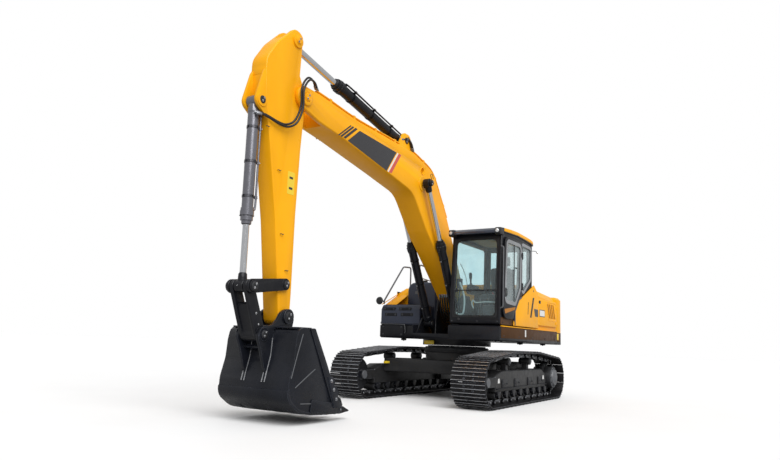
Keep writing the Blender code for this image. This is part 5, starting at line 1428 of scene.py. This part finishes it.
# ---- the CAD nodes that stay --------------------------------------------------------------------
def keep(names, finish, bevel=0.0):
    """These CAD nodes keep their shape: a better finish, and rounded edges from a modifier."""
    for name in names.split():
        node = NODES[name]
        node.data.materials.clear()
        node.data.materials.append(finish)
        node.data.shade_smooth()
        if bevel:
            weld = node.modifiers.new("weld", "WELD")
            weld.merge_threshold = 1e-5
            made = node.modifiers.new("bevel", "BEVEL")
            made.width = bevel
            made.segments = 2
            made.limit_method = "ANGLE"
            made.angle_limit = math.radians(32)
            made.harden_normals = True


# ---- studio ------------------------------------------------------------------------------------
CAMERA_TURN = (32.416, 8.702, 2.117)  # yaw, pitch and roll in degrees
CAMERA_PLACE = (5.456, -10.025, 1.037)
LENS, LENS_SHIFT = 29.74, (0.0179, 0.015)
SKY_LIGHT = 0.52  # the world lights the machine with this strength, and is seen with 1
SUN_WAY, SUN_ENERGY, SUN_SPREAD = (6.0, -4.5, 7.0), 2.9, 55


def studio():
    """A view from the front left, low down, in a soft white studio."""
    yaw, pitch, roll = (math.radians(a) for a in CAMERA_TURN)
    ahead = Vector((-math.sin(yaw) * math.cos(pitch), math.cos(yaw) * math.cos(pitch), math.sin(pitch)))
    level = Vector((math.cos(yaw), math.sin(yaw), 0.0))
    upward = level.cross(ahead)
    right = math.cos(roll) * level + math.sin(roll) * upward
    up = right.cross(ahead)
    data = bpy.data.cameras.new("camera")
    data.sensor_width = 36.0
    data.lens = LENS
    data.shift_x, data.shift_y = LENS_SHIFT
    data.clip_end = 300.0
    camera = placed("camera", data)
    turned = Matrix((right, up, -ahead)).transposed().to_4x4()
    camera.matrix_world = Matrix.Translation(CAMERA_PLACE) @ turned
    bpy.context.scene.camera = camera

    floor = Shape()
    floor.slab(rect(-90, 90, -90, 90), -0.05, -0.001, FLOOR, along="z")
    floor.made("studio_floor")

    world = bpy.data.worlds.new("studio")
    world.use_nodes = True
    world.node_tree.nodes["Background"].inputs["Color"].default_value = (1.0, 1.0, 1.0, 1.0)
    sky = world.node_tree.nodes["Background"].inputs["Strength"]
    seen, level_of = (world.node_tree.nodes.new("ShaderNode" + kind) for kind in ("LightPath", "MapRange"))
    level_of.inputs["To Min"].default_value = SKY_LIGHT
    world.node_tree.links.new(seen.outputs["Is Camera Ray"], level_of.inputs["Value"])
    world.node_tree.links.new(level_of.outputs["Result"], sky)
    bpy.context.scene.world = world
    bpy.context.scene.view_settings.view_transform = "Standard"
    sun = bpy.data.lights.new("softbox", "SUN")
    sun.energy = SUN_ENERGY
    sun.angle = math.radians(SUN_SPREAD)
    placed("softbox", sun).rotation_euler = Vector(SUN_WAY).to_track_quat("Z", "Y").to_euler()


keep("x_frame track_frame_left track_frame_right", FRAME_BLACK, 0.006)
keep("revolving_frame cab_shell cab_door guide_link push_link", BLACK, 0.006)
keep("swing_bearing idler_left idler_right sprocket_left sprocket_right", CAST, 0.004)
keep("engine_housing counterweight left_fairing hydraulic_tank", YELLOW, 0.006)
keep("left_side_door right_side_door engine_hood boom arm", YELLOW, 0.006)
keep("fuel_tank front_toolbox", SLATE, 0.006)
keep("windshield cab_right_window cab_rear_window", GLASS)
keep("cab_quarter_window cab_door_glass", SIDE_GLASS)
keep("bucket", BUCKET, 0.004)
keep("control_console", BLACK, 0.003)
undercarriage()
cylinders()
boom_details()
arm_details()
tip_hoses()
bucket_details()
link_details()
cab_outside()
cab_door()
cab_inside()
side_doors()
hood_details()
engine()
tail()
deck_sides()
tanks()
boom_foot_lines()
studio()
